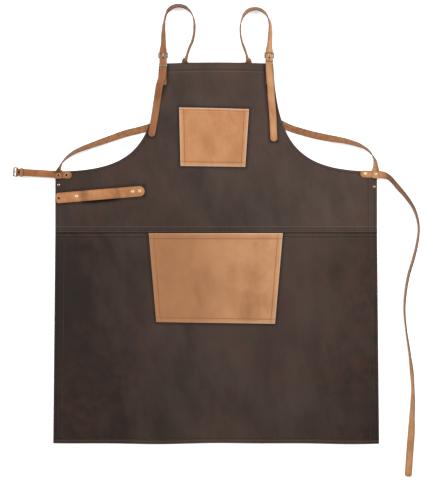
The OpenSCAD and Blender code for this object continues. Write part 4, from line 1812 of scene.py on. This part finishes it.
@dataclass
class FoldedLeather:
    """Leather folded round a heel bar, with a slot there for the tongue."""

    name: str
    heel: Heel
    front: Sequence[tuple[float, float]]
    back: Sequence[tuple[float, float]]
    tail: End = End(Tip.SQUARE)
    head: End = End(Tip.ROUND, 4 * MM)
    slot_back: float = 5.5 * MM
    slot_half: float = 1.8 * MM

    def _middle_line(self) -> tuple[list[Vector], float]:
        """The fold's middle line in u and z, and where the bend's top is along it."""
        bend_r = WIRE_R + STRAP_T / 2
        front = [Vector((u * MM, z * MM + STRAP_T / 2)) for u, z in self.front]
        back = [Vector((u * MM, z * MM + STRAP_T / 2)) for u, z in self.back]
        line = self._softened(front)
        before = sum((b - a).length for a, b in zip(line, line[1:]))
        line += [
            Vector((bend_r * math.cos(a), HEEL_Z + bend_r * math.sin(a)))
            for a in steps(math.pi / 2, -math.pi / 2, 20)[1:-1]
        ]
        return line + self._softened(back), before

    @staticmethod
    def _softened(points: Sequence[Vector]) -> list[Vector]:
        """Rounds the corners of a line by cutting them three times."""
        line = list(points)
        for _ in range(3):
            cut = [line[0]]
            for a, b in zip(line, line[1:]):
                cut += [a.lerp(b, 0.22), a.lerp(b, 0.78)]
            line = cut + [line[-1]]
        return line

    def build(
        self, look: Finishes, finish: Material, width: float = STRAP_W
    ) -> Object:
        """Builds the leather.

        Args:
            look: the finishes.
            finish: the grain side's material.
            width: the leather's width.

        Returns:
            The piece, not yet on a body.
        """
        line, before = self._middle_line()
        marks = [0.0]
        for a, b in zip(line, line[1:]):
            marks.append(marks[-1] + (b - a).length)
        where = self.heel.frame()

        def station(s: float) -> Station:
            """The leather's frame at a distance from its front end."""
            i = min(max(bisect.bisect_right(marks, s) - 1, 0), len(line) - 2)
            t = (s - marks[i]) / max(marks[i + 1] - marks[i], 1e-9)
            spot = line[i].lerp(line[i + 1], t)
            a = line[max(i - 1, 0)] if t < 0.5 else line[i]
            b = line[i + 1] if t < 0.5 else line[min(i + 2, len(line) - 1)]
            along = (b - a).normalized()
            turn = where.to_3x3()
            return Station(
                where @ Vector((spot.x, 0.0, spot.y)), turn @ Vector((0, -1, 0)),
                turn @ Vector((-along.y, 0.0, along.x)), s,
            )

        bend = math.pi * (WIRE_R + STRAP_T / 2)
        slot = (before - self.slot_back, before + bend + 1.5 * MM, self.slot_half)
        strip = Strip(
            self.name, station, marks[-1], width, STRAP_T, self.head, self.tail,
            1.2 * MM, slot,
        )
        return strip.build([finish, look.tan_flesh, look.tan_edge])


@dataclass
class Buckle:
    """A wire buckle: its frame and its tongue."""

    heel: Heel
    frame_name: str
    frame_node: str
    frame_body: str
    tongue: str
    length: float = 12.7 * MM
    width: float = 18 * MM
    end_bar: float = 2.4 * MM

    def build(self, look: Finishes) -> None:
        """Builds the frame and the tongue.

        Args:
            look: the finishes.
        """
        half = self.width / 2
        loop = rounded_loop((0.0, -half), (self.length, half), 1.6 * MM)
        wires = [2 * WIRE_R for _ in loop]
        flats = [self.end_bar if x > self.length - 0.5 * MM else 2 * WIRE_R for x, _ in loop]
        piece = Bar(
            self.frame_name, loop, self.heel.plane(), flats, wires, closed=True, power=2.3
        ).build(look.nickel)
        enter(piece, self.frame_body, Slot.BUCKLE, self.frame_node)
        lift = math.asin((WIRE_R + 0.95 * MM) / self.length)
        tip = 14.9 * MM
        ring_r = 1.78 * MM
        line = [
            (ring_r * math.cos(a), ring_r * math.sin(a))
            for a in steps(math.radians(-28), math.radians(-332), 30)
        ]
        line += [(x, 0.32 * MM * math.sin(x / tip * math.pi)) for x in steps(2.6 * MM, tip, 18)]
        thick = [0.95 * MM] * 31 + [
            1.75 * MM - 0.5 * MM * t for t in steps(0.0, 1.0, 16)
        ] + [0.95 * MM, 0.4 * MM]
        wide = [2.7 * MM] * 31 + [
            2.2 * MM - 0.6 * MM * t for t in steps(0.0, 1.0, 16)
        ] + [1.2 * MM, 0.5 * MM]
        upright = Matrix.Rotation(-lift, 4, "Y") @ Matrix.Rotation(math.pi / 2, 4, "X")
        piece = Bar(
            f"{self.tongue}_pin", line, self.heel.plane() @ upright, thick, wide, power=2.4
        ).build(look.nickel)
        enter(piece, self.tongue, Slot.BUCKLE, self.tongue)


@dataclass
class Keeper:
    """A loop that holds a strap's tail down."""

    name: str
    node: str
    body: str
    place: Matrix
    low: float
    high: float
    thick: float
    width: float
    slot: Slot
    play: float = 0.3 * MM

    def build(self, finish: Material) -> Object:
        """Builds the loop.

        Args:
            finish: its material.

        Returns:
            The piece.
        """
        half = STRAP_W / 2 + self.play + self.thick / 2
        reach = self.thick / 2
        loop = rounded_loop(
            (-half, self.low - reach), (half, self.high + reach), 0.9 * MM, 6
        )
        bar = Bar(
            self.name, loop, self.place, [self.thick], [self.width], True, 5.0, 24
        )
        return enter(bar.build(finish), self.body, self.slot, self.node)


DOME = ((0.0, 1.0), (0.25, 0.98), (0.5, 0.9), (0.72, 0.74), (0.88, 0.5), (0.97, 0.26),
        (1.0, 0.12), (0.99, 0.0))
EYELET = ((0.0, 0.34), (0.22, 0.34), (0.34, 0.42), (0.44, 0.72), (0.56, 0.94), (0.7, 0.96),
          (0.86, 0.7), (0.97, 0.3), (1.0, 0.12), (0.99, 0.0))


@dataclass
class RivetRow:
    """Rivet caps that one CAD node stands for: domes, or eyelets with painted dark middles."""

    node: str
    spots: Sequence[tuple[float, float, float]]
    radius: float
    hollow: frozenset[int] = frozenset()
    height: float = 1.3 * MM

    def build(self, finish: Material, middle: Material) -> Object:
        """Builds the caps.

        Args:
            finish: their material.
            middle: the painted dark reflection inside the hollow ones.

        Returns:
            The piece.
        """

        def profile(n: int) -> list[tuple[float, float]]:
            """The outline of a cap."""
            shape = EYELET if n in self.hollow else DOME
            return [(r * self.radius, z * self.height) for r, z in shape]

        spots = [Vector((x * MM, y * MM, z * MM)) for x, y, z in self.spots]
        piece = turned(
            f"{self.node}_domes", spots, profile, [finish, middle],
            lambda n: 5 if n in self.hollow else 0,
        )
        return enter(piece, APRON, Slot.RIVET, self.node)


# Painted shade on the towel strap's climbs.
CLIMB_SHADE_SHARE = 0.65
CLIMB_SHADE_LIMIT = 0.5


@dataclass
class TowelStrap:
    """The tan strip on the left of the bib, arched so that a towel can hang in it."""

    start: tuple[float, float] = (-336.6, 71.2)
    turn: float = math.radians(4.8)
    width: float = 22 * MM
    length: float = 187 * MM
    rise: float = 9 * MM
    lifted: tuple[float, float] = (49 * MM, 139 * MM)
    rivets: tuple[float, ...] = (6, 43.5, 161.5, 176)

    def station(self, s: float) -> Station:
        """The strap's frame at a distance from its left end."""

        def height(at: float) -> float:
            """The middle line's height."""
            up = eased((at - self.lifted[0]) / (22 * MM))
            down = eased((self.lifted[1] - at) / (22 * MM))
            return BIB_TOP + STRAP_T / 2 + self.rise * up * down

        along = Vector((math.cos(self.turn), math.sin(self.turn), 0.0))
        slope = (height(s + 0.5 * MM) - height(s - 0.5 * MM)) / MM
        point = Vector((self.start[0] * MM, self.start[1] * MM, height(s))) + along * s
        tangent = (along + Vector((0, 0, slope))).normalized()
        wide = Vector((-along.y, along.x, 0.0))
        # Painted shade where the strap climbs to and from its arch.
        darker = min(CLIMB_SHADE_LIMIT, CLIMB_SHADE_SHARE * abs(slope))
        return Station(point, wide, tangent.cross(wide), s, darker)

    def build(self, look: Finishes) -> None:
        """Builds the strap and its rivets.

        Args:
            look: the finishes.
        """
        strip = Strip(
            "towel_strap_leather", self.station, self.length, self.width, STRAP_T,
            End(Tip.ROUND, 5 * MM), End(Tip.ROUND, self.width / 2),
        )
        piece = strip.build([look.towel, look.tan_flesh, look.tan_edge])
        enter(piece, APRON, Slot.TAN, "towel_strap")
        spots = [
            (
                self.start[0] + s * math.cos(self.turn),
                self.start[1] + s * math.sin(self.turn), 6.4,
            )
            for s in self.rivets
        ]
        RivetRow("towel_rivet_caps", spots, 4.2 * MM, frozenset({0})).build(
            look.brass, look.bronze
        )


LEFT_ROUTE = (
    (-331, 112, 7.4, 0), (-331, 124.3, 7.4, 0), (-330.6, 126.4, 9.1, 12),
    (-330.2, 128.3, 11, 28), (-329.6, 130.5, 12.8, 52), (-328.3, 133.6, 12, 74),
    (-325.2, 141.8, 9.8, 84), (-320.6, 149.4, 8.2, 102), (-309.3, 160.4, 7.8, 113),
    (-293, 170.5, 7.6, 124), (-266, 181, 6.8, 138), (-226, 195.2, 4.8, 152),
    (-190, 207.4, 2.4, 170), (-152, 217, 1.05, 180), (-118, 229, 1.05, 180),
    (-92, 254, 1.05, 180), (-76, 295, 1.05, 180), (-68, 335, 1.05, 180),
    (-65, 357, 1.05, 180), (-64.5, 358.8, 3, 166), (-64, 361, 6.2, 134),
    (-63.4, 363.2, 7.7, 112), (-61, 372.5, 7.7, 104), (-56, 387, 7.7, 106),
    (-50, 401, 7.7, 106), (-46.5, 416, 7.7, 104), (-45.5, 431, 7.7, 104),
    (-46.5, 444, 7.7, 97), (-50, 456, 7.7, 86), (-56.5, 465.5, 7.7, 75),
    (-66, 472.8, 7.7, 61), (-78, 475.6, 7.5, 58), (-89.5, 473.7, 7.5, 54),
    (-98.5, 467.7, 7.5, 58), (-104.6, 458.5, 7.7, 76), (-108.2, 445, 7.7, 78),
    (-110.2, 431, 7.7, 68), (-110.8, 410, 8.2, 53), (-110.8, 398, 8.6, 49),
    (-111.2, 389.5, 8.9, 40), (-111.4, 384.5, 9, 26), (-111.5, 380, 9.15, 0),
    (-111.5, 342, 9.15, 0), (-114, 325, 8.8, 0), (-119, 308, 8.2, 0), (-122.5, 286, 5.9, 0),
    (-126, 262, 5.9, 0), (-130.5, 234, 5.9, 0), (-135, 209, 5.9, 0),
    (-136.4, 200.4, 5.9, 0),
)
RIGHT_ROUTE = (
    (334.5, 113, 7.4, 0), (334.5, 126.3, 7.4, 0), (334.5, 130.5, 9.4, -15),
    (334.6, 134, 10.3, -38), (334.4, 140, 10, -56), (333.8, 147, 9, -66),
    (330.6, 156.6, 8, -86), (324.4, 166.4, 7.8, -102), (312.6, 176.8, 7.8, -110),
    (294, 185.2, 7.4, -128), (268, 192.2, 6.2, -141), (240, 197.2, 4.1, -157),
    (212, 202.6, 2.1, -172), (184, 209.8, 1.05, -180), (152, 220.2, 1.05, -180),
    (120, 238, 1.05, -180), (96, 264, 1.05, -180), (80, 300, 1.05, -180),
    (71, 335, 1.05, -180), (67.2, 357, 1.05, -180), (66.8, 358.8, 3, -166),
    (66.4, 361, 6.2, -134), (65.9, 363.2, 7.7, -112), (63.8, 372.5, 7.7, -102),
    (59, 386.5, 7.7, -105), (54, 401, 7.7, -100), (51, 418, 7.7, -96), (51, 432, 7.7, -96),
    (54, 446.5, 7.7, -81), (60, 458.5, 7.7, -65), (69.5, 466.6, 7.7, -58),
    (81, 469.4, 7.5, -62), (91.5, 467.8, 7.6, -63), (101.2, 461.8, 7.7, -68),
    (108.8, 451, 7.7, -82), (113.2, 438, 7.7, -70), (113.8, 415, 8, -56),
    (112.9, 399, 8.6, -50), (112.1, 389.5, 8.9, -42), (111.7, 384.5, 9, -26),
    (111.5, 380, 9.15, 0), (111.5, 342, 9.15, 0), (113, 325, 8.8, 0), (114.5, 308, 8.2, 0),
    (115.5, 286, 5.9, 0), (117.5, 262, 5.9, 0), (119.5, 234, 5.9, 0), (121, 199, 5.9, 0),
    (121.4, 190.4, 5.9, 0),
)
TIE_ROUTE = (
    (302.5, 122.7, 5.4, 0), (311, 122.3, 5.4, 0), (339, 121, 5.4, 0), (351, 120, 5.8, 16),
    (361.5, 115.6, 7, 46), (371.2, 106.6, 7.4, 56), (381.6, 94.4, 7.4, 55),
    (398, 75.4, 7.5, 64), (413.6, 52.4, 7.7, 72), (422, 30, 7.7, 79), (425.2, 8, 7.7, 83),
    (422.4, -20, 7.7, 79), (414.2, -55.3, 7.7, 76), (403.8, -90.2, 7.7, 76),
    (397.4, -128, 7.7, 79), (395.2, -165, 7.7, 83), (399.2, -208, 7.7, 86),
    (405.3, -250, 7.7, 81), (410.6, -294, 7.6, 68), (413, -328, 7.6, 72),
    (412.6, -361, 7, 57), (411.1, -390, 6.2, 46), (410, -420, 4.2, 24),
    (407.9, -450, 1.9, 5), (404.5, -500, 1.05, 0), (403.8, -513.5, 1.05, 0),
)


@dataclass
class Straps:
    """The three long straps."""

    def build(self, look: Finishes) -> None:
        """Builds the shoulder straps and the waist tie.

        Args:
            look: the finishes.
        """
        for side, route in ((Side.LEFT, LEFT_ROUTE), (Side.RIGHT, RIGHT_ROUTE)):
            LooseStrap(
                f"shoulder_strap_{side.word}_leather", f"shoulder_strap_{side.word}",
                route, "object", End(Tip.ROUND, STRAP_W / 2),
                slot_at=(side.value * 111.5 * MM, 370 * MM),
            ).build(look)
        LooseStrap(
            "waist_tie_leather", "waist_tie_right", TIE_ROUTE, "bare",
            End(Tip.ROUND, 5.4 * MM), End(Tip.ROUND, STRAP_W / 2), dark_above=-0.27,
        ).build(look)


@dataclass
class Shoulder:
    """One shoulder's tab, buckle, keeper and rivets."""

    side: Side
    keeper_y: float
    x: float = 111.5 * MM
    y: float = 366 * MM

    def build(self, look: Finishes) -> None:
        """Builds the shoulder.

        Args:
            look: the finishes.
        """
        word = self.side.word
        x = self.side.value * self.x
        heel = Heel(x, self.y, math.pi / 2, math.radians(33.2))
        tab = FoldedLeather(
            f"shoulder_tab_{word}_leather", heel,
            ((-57, 4.4), (-28, 4.4), (-20, 5.95), (0, 5.95)),
            ((0, 1.55), (-5, 1.55), (-8.5, 0.1), (-50, 0.1)),
        ).build(look, look.left_strap)
        enter(tab, APRON, Slot.STRAP, f"shoulder_tab_{word}")
        Buckle(
            heel, f"shoulder_buckle_{word}_frame", f"shoulder_buckle_{word}", APRON,
            f"shoulder_tongue_{word}",
        ).build(look)
        place = (
            Matrix.Translation((x, self.keeper_y, 0.0))
            @ Matrix.Rotation(math.pi / 2, 4, "X")
        )
        keeper = f"shoulder_keeper_{word}"
        Keeper(
            f"{keeper}_band", keeper, keeper, place, 5.65 * MM, 10.45 * MM, 0.95 * MM,
            4 * MM, Slot.BUCKLE,
        ).build(look.nickel)
        spots = [(x / MM, y, 6.4) for y in (334, 323)]
        RivetRow(f"shoulder_rivet_caps_{word}", spots, 3.3 * MM).build(
            look.brass, look.bronze
        )


@dataclass
class WaistStrap:
    """The short strap at the left waist corner, with its buckle and keeper."""

    heel: Heel = Heel(-417.4 * MM, 126.2 * MM, math.radians(176.6), math.radians(57))

    def build(self, look: Finishes) -> None:
        """Builds the strap, its fold's stitches, its buckle and its keeper.

        Args:
            look: the finishes.
        """
        strap = FoldedLeather(
            "waist_strap_leather", self.heel,
            ((-114.6, 4.4), (-82.3, 4.4), (-12, 5.95), (0, 5.95)),
            ((0, 1.55), (-4, 1.55), (-20, 3.65), (-28, 3.45)),
            head=End(Tip.ROUND, STRAP_W / 2),
        ).build(look, look.waist_strap)
        enter(strap, APRON, Slot.STRAP, "waist_strap_left")
        where = self.heel.frame()
        rows = [
            [where @ Vector((-24 * MM, v, 7.7 * MM)) for v in steps(-5 * MM, 5 * MM, 4)]
        ]
        piece = Stitching("fold_stitches", rows, 2.8 * MM, 2.3 * MM).build(look.tan_thread)
        enter(piece, APRON, Slot.TAN_THREAD, "waist_strap_fold_thread")
        Buckle(
            self.heel, "waist_buckle_frame", "waist_buckle", "waist_buckle",
            "waist_tongue", end_bar=4.4 * MM,
        ).build(look)
        place = where @ Matrix.Translation((-8.8 * MM, 0, 0)) @ Matrix(
            ((0, 0, 1, 0), (1, 0, 0, 0), (0, 1, 0, 0), (0, 0, 0, 1))
        )
        Keeper(
            "waist_keeper_band", "waist_keeper", "waist_keeper", place, 1.45 * MM,
            10.55 * MM, 1.3 * MM, 6 * MM, Slot.STRAP,
        ).build(look.towel)


@dataclass
class CornerRivets:
    """The rivets at the waist corners and the side edges, and every rivet's post."""

    left: tuple[tuple[float, float, float], ...] = ((-331, 119.5, 8.4), (-314.5, 120.4, 6.4))
    right: tuple[tuple[float, float, float], ...] = ((334.5, 121.4, 8.4), (312.5, 122.2, 6.4))
    edge: tuple[tuple[float, float, float], ...] = ((-330.8, 99, 4.4), (332.2, 95, 4.4))
    posts: tuple[str, ...] = (
        "shoulder_rivet_posts_left", "shoulder_rivet_posts_right",
        "corner_rivet_posts_left", "corner_rivet_posts_right", "edge_rivet_posts",
        "towel_rivet_posts",
    )

    def build(self, look: Finishes) -> None:
        """Builds the caps and dresses the posts.

        Args:
            look: the finishes.
        """
        RivetRow(
            "corner_rivet_caps_left", self.left, 4.2 * MM, frozenset({0, 1})
        ).build(look.brass, look.bronze)
        RivetRow("corner_rivet_caps_right", self.right, 4.2 * MM).build(look.brass, look.bronze)
        RivetRow("edge_rivet_caps", self.edge, 3.3 * MM).build(look.nickel, look.bronze)
        for name in self.posts:
            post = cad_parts[name]
            post.data.materials.clear()
            post.data.materials.append(look.brass)
            log.info("%s keeps its CAD shape", name)


# ------------------------------------------------------------------ studio


@dataclass
class Studio:
    """Camera straight above, a pale floor, and soft light from above."""

    scale: float = 2.1 * MM
    frame_w: int = 433
    frame_h: int = 482
    centre: tuple[float, float] = (0.63 * MM, -18.5 * MM)
    lens: float = 200.0
    sheet_z: float = 5 * MM

    def camera(self) -> None:
        """Places the camera."""
        data = bpy.data.cameras.new("Camera")
        data.lens = self.lens
        data.sensor_width = 36.0
        tall = self.frame_h * self.scale
        away = tall / 2 / (data.sensor_width / 2 / self.lens)
        data.clip_end = 100.0
        made = bpy.data.objects.new("Camera", data)
        made.location = (*self.centre, self.sheet_z + away)
        bpy.context.scene.collection.objects.link(made)
        bpy.context.scene.camera = made
        log.info("camera is %.2f m above the apron", away)

    def floor(self) -> None:
        """Lays the floor."""
        made = make_object(
            "studio_floor",
            [Vector((x, y, -0.8 * MM)) for x, y in ((-20, -20), (20, -20), (20, 20), (-20, 20))],
            [(0, 1, 2, 3)], [StudioPaper().build()],
        )

    def lights(self) -> None:
        """Sets the sky and the soft boxes."""
        scene = bpy.context.scene
        scene.view_settings.view_transform = "Standard"
        world = bpy.data.worlds.new("Studio air")
        world.use_nodes = True
        air = world.node_tree.nodes["Background"]
        air.inputs["Color"].default_value = (1.0, 1.0, 1.0, 1.0)
        air.inputs["Strength"].default_value = 0.46
        scene.world = world
        for name, place, size, power in (
            ("Right softbox", (1.5, 1.3, 2.0), 1.1, 62.0),
            ("Left softbox", (-1.7, 1.0, 1.9), 1.1, 38.0),
        ):
            data = bpy.data.lights.new(name, "AREA")
            data.shape = "SQUARE"
            data.size = size
            data.energy = power
            made = bpy.data.objects.new(name, data)
            made.location = place
            aim = Vector((0, 0, 0)) - Vector(place)
            made.rotation_mode = "QUATERNION"
            made.rotation_quaternion = aim.to_track_quat("-Z", "Y")
            scene.collection.objects.link(made)


def pockets(look: Finishes) -> Iterable[Patch]:
    """The two pockets.

    Args:
        look: the finishes.

    Returns:
        The chest pocket and the waist pocket.
    """
    return (
        Patch(
            "chest_pocket", CHEST_CORNERS, BIB_TOP, 4.8 * MM, CHEST_TOP_HEM, 0.0, look.chest, 2.3
        ),
        Patch(
            "waist_pocket", WAIST_CORNERS, SKIRT_TOP, 6.8 * MM, WAIST_TOP_HEM, 0.5 * MM,
            look.waist, 8.9,
        ),
    )


def main() -> None:
    """Builds the studio and the apron, piece by piece."""
    logging.basicConfig(level=logging.INFO, format="%(message)s")
    studio = Studio()
    studio.camera()
    look = Finishes()
    Straps().build(look)
    bib, skirt = Bib(), Skirt()
    bib.panel(look)
    skirt.panel(look)
    bib.stitches(look)
    skirt.stitches(look)
    for patch, flat, area in zip(
        pockets(look), ((0.147, 0.125), (0.282, 0.190)), (0.0173, 0.0506)
    ):
        piece = patch.panel(look)
        patch.stitches(look)
    Shoulder(Side.LEFT, 349.5 * MM).build(look)
    Shoulder(Side.RIGHT, 359.4 * MM).build(look)
    WaistStrap().build(look)
    TowelStrap().build(look)
    CornerRivets().build(look)
    studio.floor()
    studio.lights()


if __name__ == "__main__":
    main()
